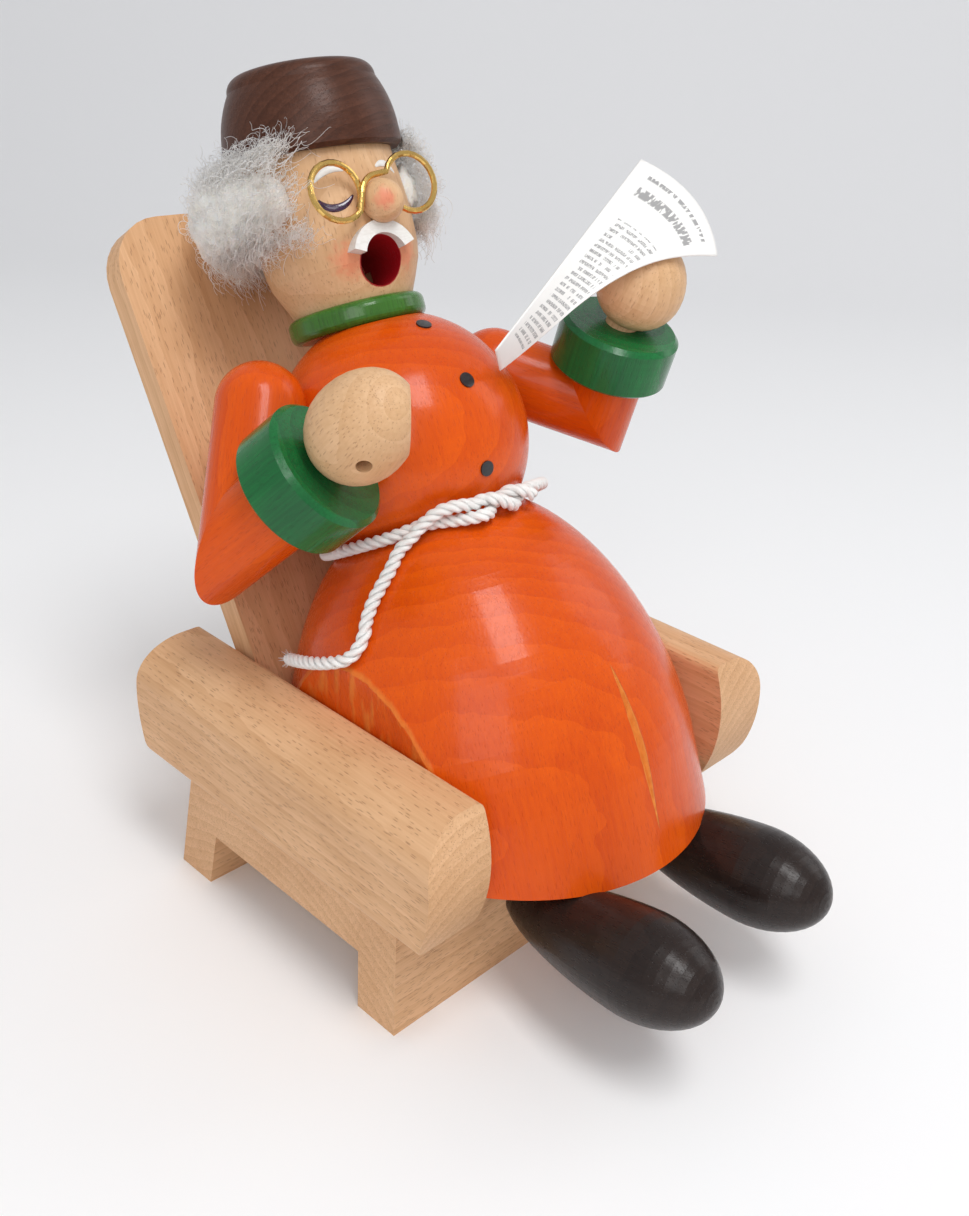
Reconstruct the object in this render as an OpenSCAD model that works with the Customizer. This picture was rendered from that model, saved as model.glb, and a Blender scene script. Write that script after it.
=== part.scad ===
// Seated incense smoker: a turned wooden figure in a low armchair.
// The body is hollow and splits at the waist. An incense cone burns inside the gown
// and its smoke leaves through the mouth.
// Frame: the chair faces -Y, +Z is up, the figure's right hand is at -X.
// The origin is the middle of the front foot's sole. Lengths are in millimetres.

/* [Chair] */
// Width of the base block
base_w = 92; // [84:1:100]
// Depth of the base block at the floor
base_l = 70; // [66:1:76]
// Height of the base block between the armrests
base_h = 30.7; // [28:0.1:33]
// Depth of the rebate that each armrest lies in
rebate_d = 4; // [3:0.5:6]
// Thickness of the front foot
front_foot_t = 10.4; // [8:0.2:13]
// Thickness of the rear foot
rear_foot_t = 10.5; // [8:0.5:13]
// Height of the arch under the base
arch_h = 13.8; // [10:0.2:16]
// Splay of the rear foot
rear_splay = 12.5; // [8:0.5:16]
// Clear width between the armrests
seat_w = 69.2; // [66:0.2:74]
// Width of an armrest
armrest_w = 14.9; // [13:0.1:17]
// Height of an armrest
armrest_h = 26.5; // [24:0.5:30]
// Length of an armrest along its lower edge
armrest_l = 83.1; // [80:0.1:90]
// Reach of an armrest in front of the base
armrest_reach = 8.4; // [5:0.2:12]
// Bulge of an armrest's domed ends
armrest_dome = 3; // [1:0.5:4]
// Radius of an armrest's outer top edge
armrest_top_r = 9.5; // [6:0.5:11]
// Thickness of the backrest board
back_t = 6; // [5:0.5:8]
// Lean of the backrest from upright
back_lean = 30; // [28:0.5:31]
// Height of the backrest's top edge above the floor
back_top = 131.2; // [126:0.2:138]
// Radius of the backrest's top corners
back_corner_r = 12; // [8:0.5:18]

/* [Gown] */
// Greatest radius of the turned gown
gown_r = 42; // [41:0.2:43]
// Length of the gown's dome above its widest level
gown_l = 56.8; // [56:0.2:59]
// Fullness of the dome's shoulder along the axis
gown_full = 1.7; // [1.6:0.05:2]
// Lean of the gown's axis
gown_lean = 22; // [21:0.5:23]
// Radius of the incense chamber
chamber_r = 12.5; // [11:0.5:13]
// Thickness of the wood under the chamber
chamber_floor_t = 6.3; // [5:0.1:9]
// Radius of the tin plate for the cone
plate_r = 8; // [7:0.5:8.5]
// Thickness of the tin plate
plate_t = 0.5; // [0.3:0.1:1]
// Radius of the draught hole under the chamber
draught_r = 2; // [1.5:0.1:2.2]
// Width of the carved groove down the front
groove_w = 4; // [2:0.5:6]

/* [Upper body] */
// Radius of the turned torso
torso_r = 25.8; // [25.2:0.1:26]
// Lean of the torso's axis
torso_lean = 27; // [26:0.5:28]
// Height of the torso's centre above the waist joint
waist_drop = 17; // [16.5:0.1:17.5]
// Length of the spigot that sits in the gown
spigot_l = 5; // [4:0.5:7]
// Radius of the smoke channel
channel_r = 5; // [4:0.5:6]
// Radius of the buttons
button_r = 1.5; // [1:0.1:2]
// Outer radius of the collar ring
collar_r = 14; // [13.6:0.1:15]
// Height of the collar ring
collar_h = 4.8; // [4:0.1:5.2]

/* [Head] */
// Greatest radius of the head
head_r = 15.8; // [15:0.1:16.5]
// Lean of the head's axis
head_lean = 24.5; // [23:0.5:26]
// Turn of the face towards the figure's right
face_turn = 8.5; // [0:0.5:10]
// Distance from the collar's middle to the hat's rim
head_l = 31; // [29:0.5:32]
// Radius of the mouth bore
mouth_r = 4.5; // [3.5:0.1:4.6]
// Height of the mouth above the collar's middle
mouth_up = 7.5; // [7:0.5:9]
// Radius of the nose ball
nose_r = 4; // [3:0.1:4.5]
// Height of the nose above the collar's middle
nose_up = 17.6; // [17.4:0.1:19]
// Radius of the hat at its rim
hat_r = 17.6; // [17.2:0.1:19]
// Radius of the hat at its top
hat_top_r = 14.6; // [13:0.1:16]
// Height of the hat
hat_h = 16.3; // [14:0.1:20]
// Lean of the hat
hat_lean = 16.5; // [14:0.5:20]
// Outer radius of a spectacle loop
loop_r = 6; // [5:0.1:6.8]
// Radius of the brass wire
wire_r = 0.6; // [0.4:0.05:0.8]

/* [Arms] */
// Radius of an arm
arm_r = 8.5; // [8:0.1:9]
// Length of an upper arm from shoulder to elbow
upper_l = 23.5; // [22:0.5:26]
// Length of the right forearm from elbow to cuff
right_fore_l = 12.6; // [11:0.1:14]
// Length of the left forearm from elbow to cuff
left_fore_l = 8.9; // [8.5:0.1:12]
// Radius of a cuff
cuff_r = 12.6; // [12:0.1:14]
// Thickness of a cuff
cuff_t = 10.4; // [8:0.1:11]
// Greatest radius of a hand
hand_r = 9.1; // [8.5:0.1:10]
// Length of the right hand beyond its cuff, before its tip is cut
right_hand_l = 23; // [20:0.5:24]
// Length of the left hand beyond its cuff
left_hand_l = 19; // [18:0.5:20]
// Radius of the hole bored in the right hand
grip_hole_r = 1.4; // [0.8:0.05:1.5]
// Depth of the hole bored in the right hand
grip_hole_l = 6; // [4:0.5:8]

/* [Shoes] */
// Greatest radius of a shoe
shoe_r = 9.9; // [9:0.1:10.2]
// Length of a shoe
shoe_l = 48.3; // [44:0.1:52]
// Distance between the shoes' middles
shoe_gap = 36.4; // [32:0.2:40]
// Upward tilt of the toes
shoe_tilt = 7.3; // [4:0.1:9]

/* [Joinery] */
// Radius of the dowels in the chair
dowel_r = 2; // [1.5:0.1:2.5]
// Length of the dowels in the chair
dowel_l = 16; // [12:1:16]
// Radius of the seat screws' shank
screw_r = 1.6; // [1.2:0.1:2]
// Length of the seat screws
screw_l = 24; // [20:1:26]
// Radius of the belt cord
cord_r = 1.35; // [1:0.05:1.5]
// Thickness of the paper
paper_t = 0.3; // [0.2:0.05:0.6]

/* [Hidden] */
$fn = 64;

// Clearances: a glued seat, a running fit and a free gap
glue = 0.05;
run = 0.1;
free = 0.3;
// Larger than any piece, for half spaces
big = 200;

// Chair
base_front = -front_foot_t / 2;
base_back = base_front + base_l;
rear_in = base_back - rear_foot_t;
armrest_in = seat_w / 2;
armrest_z = base_h - rebate_d;
armrest_front = base_front - armrest_reach;
armrest_end = armrest_front + armrest_l;
// The backrest's front face meets the seat at this depth
back_seat_y = base_front + 45.5;
back_x = armrest_in - 1;
dowel_x = armrest_in + 5.7;
dowel_ys = [5, 50];
back_dowel_xs = [-20, 20];
screw_xs = [-24, 24];
screw_y = 16;
screw_head_r = 3.2;
screw_head_h = 1.8;
screw_slot_w = 0.8;
screw_slot_h = 0.7;

// Gown
gown_y = 15.8;
gown_z = base_h + 1.5;
gown_waist_full = 2.2;
gown_half_w = armrest_in - free;
chamber_y = 19.5;
chamber_z = base_h + chamber_floor_t;
chamber_pocket_h = 14;
draught_y = chamber_y + chamber_r - draught_r - 0.2;
nail_r = 0.6;
nail_l = 5;
nail_head_r = 1.3;
nail_head_h = 0.5;
groove_top = [-9.7, 70.4];
groove_bottom = [-27.3, 38.3];
groove_depth = 6;

// Upper body
torso_y = 46.2;
torso_z = 93.1;
spigot_r = chamber_r - run;
button_t = 0.35;
button_ups = [77, 43, 5];
button_turn = 4;
collar_y = 60.7;
collar_z = 116;
collar_in = 12.2;
collar_top = 1.4;
collar_edge_r = 1.6;
collar_low = collar_top - collar_h;
neck_r = 8;
neck_l = 8;

// Head
head_low_r = collar_in - glue;
head_top_r = 15.2;
head_bulge = 0.1;
head_side = [[head_low_r, collar_top], [head_low_r + 1.4, collar_top + 3], [head_r - 0.7, 8],
    [head_r - 0.2, 10.5], [head_r, 13], [head_r + head_bulge, 16.5], [head_r, 20], [head_r - 0.3, 24],
    [head_top_r, 27]];
mouth_depth = 14;
hat_y = 73.7;
hat_z = 144.3;
hat_edge_r = 3;
hat_rim_h = 0.8;
hat_full = 2.4;
nose_out = 18.2;
nose_side = 1.3;
nose_peg_r = 1.2;
nose_peg_l = 4;
moustache_in = mouth_r + 0.1;
moustache_out = moustache_in + 2.5;
moustache_t = 2.6;
moustache_gap = 20;
moustache_sunk = 1.3;
loop_right_x = -8.1;
loop_left_x = 8.2;
bridge_r = nose_r + wire_r + 0.3;
wire_sides = 10;
loop_out = 18.4;
loop_up = 20.2;
hair_thick = 15;
hair_low = 13;
hair_top = 31;
hair_half_gap = 58;

// Arms, as [shoulder point, upper arm direction, forearm direction
// hand direction, forearm length, hand length]
right_arm = [[-30.1, 52.5, 104.5], [-0.435, -0.383, -0.78], [0.315, -0.655, 0.687],
    [0.07, -0.67, 0.74], right_fore_l, right_hand_l];
left_arm = [[30.1, 50.1, 102.5], [0.55, -0.81, -0.24], [-0.025, -0.278, 0.96],
    [0.1, -0.35, 0.93], left_fore_l, left_hand_l];
// Place and direction of the flat cut on the right hand's tip
hand_cut_at = [-23.2, 19.9, 101.5];
hand_cut_dir = [0.78, -0.63, 0.01];
// Mouth of the hole in the right hand and its direction
grip_at = [-37.6, 14.3, 105.7];
grip_dir = [-0.5, -0.75, -0.43];
hand_wide = 0.55;
hand_peg_r = 3.5;
hand_peg_l = 5;
shoulder_dowel_l = 10;

// Shoes
shoe_heel_y = base_front - 1.8;
shoe_heel_z = 19.8;
shoe_wide = 0.674;
shoe_full = 1.5;
shoe_dowel_r = 1.5;
shoe_dowel_y = -20;
shoe_dowel_low = 20;
shoe_dowel_top = 37;

// Belt cord: its route's points, chosen by hand. It starts at its short end, winds through the
// knot, goes round the waist, winds back through the knot and ends as the hanging tail.
cord_route = [[7, 16, 89.3], [4.5, 16.8, 90.5], [2.5, 18.2, 90.5], [0, 18.9, 89.3],
    [-2.5, 18.2, 88.1], [-4.5, 16.8, 88.1], [-7, 16.5, 88.3], [-9.8, 19.6, 87.2], [-14, 23.8, 86],
    [-19, 28.5, 83], [-21.5, 35, 79.5], [-21.5, 41.5, 76], [-18.5, 48, 72.5], [-13.5, 52.5, 70],
    [-7, 56, 68], [0, 57, 67.5], [7, 56, 68], [13.5, 52.5, 70], [18.5, 48, 72.5], [21.5, 41.5, 76],
    [22.5, 35, 79.5], [21.5, 28.5, 83.5], [17.5, 23, 87], [12, 20, 88.8], [7, 18.9, 89.3],
    [4.5, 18.2, 88.1], [2.5, 16.8, 88.1], [0, 16, 89.3], [-2.5, 16.8, 90.5], [-4.5, 18.2, 90.5],
    [-7, 18.6, 90], [-10.5, 19.3, 90.3], [-13.5, 20.8, 89.5], [-16, 22.3, 87.3], [-18, 23.3, 84.8],
    [-20.5, 24, 82.3], [-23, 23.4, 79.8], [-25.5, 23, 77.4], [-28, 22.6, 74.8], [-30, 22, 72],
    [-31.5, 21, 69.8], [-33.2, 20.8, 67.5], [-34.8, 22, 65.4], [-35.8, 25.5, 63.5],
    [-35.9, 30.5, 61.3], [-35, 36, 59], [-33.5, 41, 56.8]];
cord_sides = 8;

// Letter: its corners, as the reader holds it
letter_corners = [[-0.3, 21.6, 117.5], [6.7, 26.7, 111.5], [43.5, 26.3, 147.6], [51.6, 11, 130.8]];
letter_bulge = [5.5, 0.5, 1.2];
letter_lift = [0, 0, 6];
letter_rows = 8;
letter_cols = 6;

function unit(v) = v / norm(v);
function arc(c, r, a0, a1, n = 8) =
    [for (i = [0:n]) c + r * [cos(a0 + (a1 - a0) * i / n), sin(a0 + (a1 - a0) * i / n)]];
function elbow(arm) = arm[0] + upper_l * unit(arm[1]);

// Places children with their Z axis along d, from the point p
module along(p, d) {
    translate(p) rotate([0, acos(d[2] / norm(d)), atan2(d[1], d[0])]) children();
}

// Places children in a frame in the middle plane that leans back by a
module leaning(y, z, a) {
    translate([0, y, z]) rotate([-a, 0, 0]) children();
}

// Everything on the far side of the plane through p with the normal d
module beyond(p, d) {
    along(p, d) translate([-big, -big, 0]) cube([2 * big, 2 * big, big]);
}

// An outline in the Y-Z plane carried across the chair, from x to x + w
module across(x, w) {
    translate([x, 0, 0]) rotate([90, 0, 90]) linear_extrude(w) children();
}

module chair_base() {
    top_back = base_back - base_h * tan(rear_splay);
    color("burlywood") difference() {
        across(-base_w / 2, base_w) polygon([[base_front, 0], [-base_front, 0], [-base_front, arch_h],
            [rear_in - arch_h * tan(rear_splay), arch_h], [rear_in, 0], [base_back, 0], [top_back, base_h],
            [base_front, base_h]]);
        for (s = [0, 1]) mirror([s, 0, 0])
            translate([armrest_in, base_front - 1, armrest_z]) cube([base_w, base_l + 2, base_h]);
        armrest_dowel_set(glue);
        backrest_dowel_set(glue);
        screw_set(glue);
        translate([0, draught_y, 0]) cylinder(r = draught_r, h = base_h + 1);
    }
}

// The left armrest: a D-shaped moulding with domed ends
module armrest_solid() {
    z1 = armrest_z + armrest_h;
    zm = armrest_z + armrest_h / 2;
    dome_r = (armrest_dome * armrest_dome + armrest_h * armrest_h / 4) / (2 * armrest_dome);
    dome_a = asin(armrest_h / 2 / dome_r);
    section = concat(arc([armrest_in + 1, armrest_z + 1], 1, 180, 270, 3),
        arc([armrest_in + armrest_w - 3, armrest_z + 3], 3, 270, 360, 5),
        arc([armrest_in + armrest_w - armrest_top_r, z1 - armrest_top_r], armrest_top_r, 0, 90, 14),
        arc([armrest_in + 1.5, z1 - 1.5], 1.5, 90, 180, 3));
    side = concat(arc([armrest_front - armrest_dome + dome_r, zm], dome_r, 180 - dome_a, 180 + dome_a, 12),
        arc([armrest_end + armrest_dome - dome_r, zm], dome_r, -dome_a, dome_a, 12));
    intersection() {
        translate([0, armrest_end + 10, 0]) rotate([90, 0, 0])
            linear_extrude(armrest_l + 20) polygon(section);
        across(armrest_in - 1, armrest_w + 2) polygon(side);
    }
}

module left_armrest() {
    color("burlywood") difference() {
        armrest_solid();
        armrest_dowel_set(glue);
    }
}

module right_armrest() {
    color("burlywood") mirror([1, 0, 0]) difference() {
        armrest_solid();
        armrest_dowel_set(glue);
    }
}

// Places children where the backrest's front face meets the seat, with Z up the board
module on_back() {
    leaning(back_seat_y, base_h, back_lean) children();
}

module backrest() {
    l = (back_top - base_h) / cos(back_lean);
    r = back_corner_r;
    color("burlywood") difference() {
        on_back() translate([0, back_t, 0]) rotate([90, 0, 0]) linear_extrude(back_t)
            polygon(concat([[-back_x, -10], [back_x, -10]], arc([back_x - r, l - r], r, 0, 90),
                arc([r - back_x, l - r], r, 90, 180)));
        translate([-big, -big, base_h - big]) cube([2 * big, 2 * big, big]);
        backrest_dowel_set(glue);
    }
}

// A chair dowel halfway through the joint at the origin, or the hole for it
module dowel(gap) {
    translate([0, 0, -dowel_l / 2 - gap]) cylinder(r = dowel_r + gap, h = dowel_l + 2 * gap);
}

module armrest_dowel_set(gap = 0) {
    for (s = [-1, 1], y = dowel_ys)
        translate([s * dowel_x, y, armrest_z]) dowel(gap);
}

module armrest_dowels() {
    color("tan") armrest_dowel_set();
}

module backrest_dowel_set(gap = 0) {
    for (x = back_dowel_xs)
        on_back() translate([x, back_t / 2, 0]) dowel(gap);
}

module backrest_dowels() {
    color("tan") backrest_dowel_set();
}

// Countersunk wood screws that hold the gown on the seat
module screw_set(gap = 0) {
    for (x = screw_xs) translate([x, screw_y, arch_h]) {
        translate([0, 0, -gap]) cylinder(r = screw_r + gap, h = screw_l + 2 * gap);
        translate([0, 0, -gap])
            cylinder(r1 = screw_head_r + gap, r2 = screw_r + gap, h = screw_head_h + gap);
    }
}

module seat_screws() {
    color("goldenrod") difference() {
        screw_set();
        for (x = screw_xs) translate([x, screw_y, arch_h])
            cube([2 * screw_head_r, screw_slot_w, 2 * screw_slot_h], center = true);
    }
}

// The turned gown before its flats are milled
module gown_turning() {
    side = [for (i = [0:28]) let (t = sin(90 * i / 28))
        [gown_r * pow(max(0, 1 - pow(t, gown_full)), 1 / gown_waist_full), t * gown_l]];
    leaning(gown_y, gown_z, gown_lean) rotate_extrude($fn = 128)
        polygon(concat([[0, -30], [gown_r, -30]], side));
}

module chamber() {
    in_torso_frame() translate([0, 0, -waist_drop - 36]) cylinder(r = chamber_r, h = 40);
    translate([0, chamber_y, chamber_z]) cylinder(r = chamber_r, h = chamber_pocket_h);
}

module gown() {
    run_yz = groove_top - groove_bottom;
    color("orangered") difference() {
        intersection() {
            gown_turning();
            translate([-gown_half_w, -big / 2, base_h]) cube([2 * gown_half_w, big, big]);
        }
        on_back() translate([-big, 0, -big]) cube([2 * big, big, 2 * big]);
        in_torso_frame() translate([-big, -big, -waist_drop]) cube([2 * big, 2 * big, big]);
        chamber();
        translate([0, draught_y, base_h - 1]) cylinder(r = draught_r, h = chamber_floor_t + 2);
        translate([0, chamber_y, chamber_z - nail_l - glue]) cylinder(r = nail_r + glue, h = nail_l + 1);
        screw_set(glue);
        shoe_dowel_set(glue);
        translate([0, groove_bottom[0], groove_bottom[1]]) rotate([-atan2(run_yz[0], run_yz[1]), 0, 0])
            linear_extrude(norm(run_yz) + 40, center = true)
            polygon([[0, 0], [-groove_w, -groove_depth], [groove_w, -groove_depth]]);
    }
}

module cone_plate() {
    color("silver") translate([0, chamber_y, chamber_z]) difference() {
        cylinder(r = plate_r, h = plate_t);
        translate([0, 0, -1]) cylinder(r = nail_r + glue, h = plate_t + 2);
    }
}

module plate_nail() {
    color("dimgray") translate([0, chamber_y, chamber_z + plate_t]) {
        cylinder(r = nail_head_r, h = nail_head_h);
        translate([0, 0, -plate_t - nail_l]) cylinder(r = nail_r, h = nail_l + plate_t);
    }
}

// An egg-shaped shoe, turned round its long axis
module shoe_solid() {
    w = shoe_wide * shoe_l;
    heel = [for (i = [0:14]) let (s = i / 14) [shoe_r * sqrt(max(0, 1 - pow(1 - s, shoe_full))), w * s]];
    side = concat(heel,
        [for (i = [1:12]) let (a = 90 * i / 12) [shoe_r * cos(a), w + (shoe_l - w) * sin(a)]]);
    difference() {
        translate([shoe_gap / 2, shoe_heel_y, shoe_heel_z]) rotate([90 - shoe_tilt, 0, 0])
            rotate_extrude() polygon(side);
        shoe_dowel_set(glue);
    }
}

module left_shoe() {
    color("#2a1d1d") shoe_solid();
}

module right_shoe() {
    color("#2a1d1d") mirror([1, 0, 0]) shoe_solid();
}

module shoe_dowel_set(gap = 0) {
    for (s = [-1, 1]) translate([s * shoe_gap / 2, shoe_dowel_y, shoe_dowel_low - gap])
        cylinder(r = shoe_dowel_r + gap, h = shoe_dowel_top - shoe_dowel_low + 2 * gap);
}

module shoe_dowels() {
    color("tan") shoe_dowel_set();
}

module in_torso_frame() {
    leaning(torso_y, torso_z, torso_lean) children();
}

module on_collar() {
    leaning(collar_y, collar_z, head_lean) children();
}

module torso() {
    color("orangered") difference() {
        union() {
            difference() {
                translate([0, torso_y, torso_z]) sphere(r = torso_r, $fn = 128);
                in_torso_frame() translate([-big, -big, -waist_drop - big]) cube([2 * big, 2 * big, big]);
            }
            in_torso_frame() translate([0, 0, -waist_drop - spigot_l])
                cylinder(r = spigot_r, h = spigot_l + 1);
        }
        in_torso_frame() translate([0, 0, -waist_drop - spigot_l - 1]) cylinder(r = channel_r, h = big / 4);
        on_collar() translate([-big, -big, collar_low]) cube([2 * big, 2 * big, big]);
        on_collar() translate([0, 0, collar_low - neck_l - free])
            cylinder(r = neck_r + glue, h = neck_l + 1);
        shoulder_dowel_set(glue);
    }
}

// Buttons are drops on the front of the torso, at these angles above level
module buttons() {
    color("#151515") for (a = button_ups) intersection() {
        translate([0, torso_y, torso_z]) rotate([90 - a, 0, -button_turn])
            cylinder(r = button_r, h = torso_r + 2);
        translate([0, torso_y, torso_z]) difference() {
            sphere(r = torso_r + button_t, $fn = 128);
            sphere(r = torso_r + 0.01, $fn = 128);
        }
    }
}

module collar() {
    e = collar_edge_r;
    color("green") on_collar() rotate_extrude() polygon(concat(
        [[collar_in, collar_low]], arc([collar_r - e, collar_low + e], e, 270, 360, 5),
        arc([collar_r - e, collar_top - e], e, 0, 90, 5), [[collar_in, collar_top]]));
}

// The collar's frame turned the way the face looks
module on_face() {
    on_collar() rotate([0, 0, -face_turn]) children();
}

module head_turning() {
    on_collar() {
        rotate_extrude() polygon(concat([[0, collar_low], [head_low_r, collar_low]], head_side,
            [[head_top_r - 0.4, head_l + 8], [0, head_l + 8]]));
        translate([0, 0, collar_low - neck_l]) cylinder(r = neck_r, h = neck_l + 1);
    }
}

module head() {
    color("wheat") difference() {
        head_turning();
        leaning(hat_y, hat_z, hat_lean) translate([-big, -big, 0]) cube([2 * big, 2 * big, big]);
        on_collar() translate([0, 0, -big / 2]) cylinder(r = channel_r, h = big / 2 + mouth_up);
        on_face() translate([0, 0, mouth_up]) rotate([90, 0, 0]) cylinder(r = mouth_r, h = big / 4);
        nose_peg(glue);
    }
}

// A barrel-shaped hat with a round shoulder
module hat() {
    e = hat_edge_r;
    side = [for (i = [0:10]) let (t = i / 10)
        [hat_r - (hat_r - hat_top_r) * pow(t, hat_full), hat_rim_h + (hat_h - e - hat_rim_h) * t]];
    color("#3a2420") leaning(hat_y, hat_z, hat_lean) rotate_extrude(convexity = 4)
        polygon(concat([[0, 0], [hat_r - hat_rim_h, 0]], side,
            arc([hat_top_r - e, hat_h - e], e, 15, 90, 8), [[0, hat_h]]));
}

module nose_peg(gap = 0) {
    on_face() translate([nose_side, -nose_out, nose_up]) rotate([-90, 0, 0])
        cylinder(r = nose_peg_r + gap, h = nose_r + nose_peg_l + gap);
}

module nose() {
    color("wheat") union() {
        difference() {
            on_face() translate([nose_side, -nose_out, nose_up]) sphere(r = nose_r);
            on_collar() cylinder(r = head_r + head_bulge + glue, h = big / 4);
        }
        nose_peg();
    }
}

module moustache() {
    color("white") difference() {
        on_face() translate([0, -head_r - moustache_t + moustache_sunk, mouth_up]) rotate([90, 0, 0])
            translate([0, 0, -moustache_t - moustache_sunk]) rotate([0, 0, moustache_gap])
            rotate_extrude(angle = 180 - 2 * moustache_gap) translate([moustache_in, 0])
            square([moustache_out - moustache_in, moustache_t + moustache_sunk]);
        head_turning();
        on_face() translate([nose_side, -nose_out, nose_up]) sphere(r = nose_r + glue);
    }
}

// Points on a round bend of the wire, from angle a0 to a1, moving out from y0 to y1
function bend(x, z, r, a0, a1, y0, y1, n) = [for (i = [0:n]) let (t = i / n, a = a0 + (a1 - a0) * t)
    [x + r * cos(a), -y0 - (y1 - y0) * t, z + r * sin(a)]];

// One wire: it starts behind the bridge, makes a loop, crosses itself, bends over the nose
// and makes an open loop
module spectacles() {
    r = loop_r - wire_r;
    front = loop_out + wire_r;
    wire = concat(bend(loop_right_x, loop_up, r, -38, 310, loop_out - 1.6 * wire_r, front, 24),
        bend(nose_side, nose_up, bridge_r, 160, 90, front, loop_out, 6),
        bend(loop_left_x, loop_up, r, 152, -126, loop_out, loop_out, 19));
    color("gold") on_face() tube(wire, wire_r, wire_sides, [0, 1, 0]);
}

module hair() {
    r0 = head_r + free;
    e = 7;
    color("white") difference() {
        on_collar() rotate([0, 0, -90 + hair_half_gap]) rotate_extrude(angle = 360 - 2 * hair_half_gap)
            polygon(concat([[r0, hair_low + 1], [r0 + hair_thick - e, hair_low]],
                arc([r0 + hair_thick - e, (hair_low + hair_top) / 2], e, -60, 60, 6),
                [[r0 + 2, hair_top], [r0, hair_top]]));
        leaning(hat_y, hat_z, hat_lean) translate([0, 0, -free]) cylinder(r = hat_r + free, h = big / 4);
        on_back() translate([-big, -free, -big]) cube([2 * big, big, 2 * big]);
    }
}

module shoulder_dowel_set(gap = 0) {
    c = [0, torso_y, torso_z];
    for (arm = [right_arm, left_arm])
        along(c + unit(arm[0] - c) * (torso_r - shoulder_dowel_l / 2 - gap), arm[0] - c)
            cylinder(r = dowel_r + gap, h = shoulder_dowel_l + 2 * gap);
}

module shoulder_dowels() {
    color("tan") shoulder_dowel_set();
}

module upper_arm_solid(arm) {
    difference() {
        union() {
            translate(arm[0]) sphere(r = arm_r);
            along(arm[0], arm[1]) cylinder(r = arm_r, h = upper_l + 2 * arm_r);
        }
        beyond(elbow(arm), unit(arm[1]) + unit(arm[2]));
        along(elbow(arm), arm[2]) translate([0, 0, arm[4] - glue])
            cylinder(r = cuff_r + glue, h = cuff_t + 2 * glue);
        translate([0, torso_y, torso_z]) sphere(r = torso_r + glue, $fn = 128);
        shoulder_dowel_set(glue);
    }
}

module forearm_solid(arm) {
    difference() {
        along(elbow(arm), arm[2]) translate([0, 0, -2 * arm_r]) cylinder(r = arm_r, h = arm[4] + 2 * arm_r);
        beyond(elbow(arm), -unit(arm[1]) - unit(arm[2]));
        along(elbow(arm), arm[2]) translate([0, 0, arm[4] - hand_peg_l - glue])
            cylinder(r = hand_peg_r + glue, h = hand_peg_l + 1);
    }
}

module right_upper_arm() {
    color("orangered") upper_arm_solid(right_arm);
}

module left_upper_arm() {
    color("orangered") upper_arm_solid(left_arm);
}

module right_forearm() {
    color("orangered") forearm_solid(right_arm);
}

module left_forearm() {
    color("orangered") forearm_solid(left_arm);
}

module cuff_solid(arm) {
    e = 1;
    hole = hand_peg_r + glue;
    along(elbow(arm), arm[2]) translate([0, 0, arm[4]]) rotate_extrude() polygon([[hole, 0],
        [cuff_r - e / 2, 0], [cuff_r, e / 2], [cuff_r, cuff_t - e], [cuff_r - e, cuff_t], [hole, cuff_t]]);
}

module right_cuff() {
    color("green") difference() {
        cuff_solid(right_arm);
        translate([0, torso_y, torso_z]) sphere(r = torso_r + glue, $fn = 128);
    }
}

module left_cuff() {
    color("green") cuff_solid(left_arm);
}

module hand_solid(arm) {
    tip = elbow(arm) + (arm[4] + cuff_t) * unit(arm[2]);
    side = [for (i = [0:20]) let (a = -90 + 9 * i, l = a < 0 ? 1 - hand_wide : hand_wide)
        [hand_r * cos(a), arm[5] * (1 - hand_wide + l * sin(a))]];
    difference() {
        along(tip, arm[3]) rotate_extrude() polygon(side);
        beyond(tip, -arm[2]);
    }
    along(elbow(arm), arm[2]) translate([0, 0, arm[4] - hand_peg_l])
        cylinder(r = hand_peg_r, h = cuff_t + hand_peg_l + 2);
}

module right_hand() {
    color("wheat") difference() {
        hand_solid(right_arm);
        beyond(hand_cut_at, hand_cut_dir);
        along(grip_at, grip_dir) translate([0, 0, -grip_hole_l])
            cylinder(r = grip_hole_r, h = grip_hole_l + 10);
    }
}

module left_hand() {
    color("wheat") hand_solid(left_arm);
}

function letter_at(u, v) = let (c = letter_corners)
    (1 - u) * (1 - v) * c[0] + u * (1 - v) * c[1] + (1 - u) * v * c[2] + u * v * c[3]
    + letter_bulge * v * 4 * u * (1 - u) + letter_lift * u * u * sin(180 * pow(v, 1.2));

module letter() {
    n = letter_rows;
    m = letter_cols;
    k = (n + 1) * (m + 1);
    normal = unit(cross(letter_corners[3] - letter_corners[2], letter_corners[2] - letter_corners[0]));
    sheet = [for (i = [0:n], j = [0:m]) letter_at(j / m, i / n)];
    points = concat(sheet, [for (p = sheet) p + paper_t * normal]);
    faces = concat(
        [for (i = [0:n - 1], j = [0:m - 1]) let (a = i * (m + 1) + j, b = a + m + 1)
            each [[a, a + 1, b + 1], [a, b + 1, b]]],
        [for (i = [0:n - 1], j = [0:m - 1]) let (a = k + i * (m + 1) + j, b = a + m + 1)
            each [[b + 1, a + 1, a], [b, b + 1, a]]],
        [for (j = [0:m - 1]) each [[j, k + j, k + j + 1], [j, k + j + 1, j + 1]]],
        [for (j = [0:m - 1]) let (a = n * (m + 1) + j) each [[a, a + 1, k + a + 1], [a, k + a + 1, k + a]]],
        [for (i = [0:n - 1]) let (a = i * (m + 1), b = a + m + 1) each [[a, b, k + b], [a, k + b, k + a]]],
        [for (i = [0:n - 1]) let (a = i * (m + 1) + m, b = a + m + 1)
            each [[a, k + a, k + b], [a, k + b, b]]]);
    color("white") polyhedron(points, faces);
}

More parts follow.
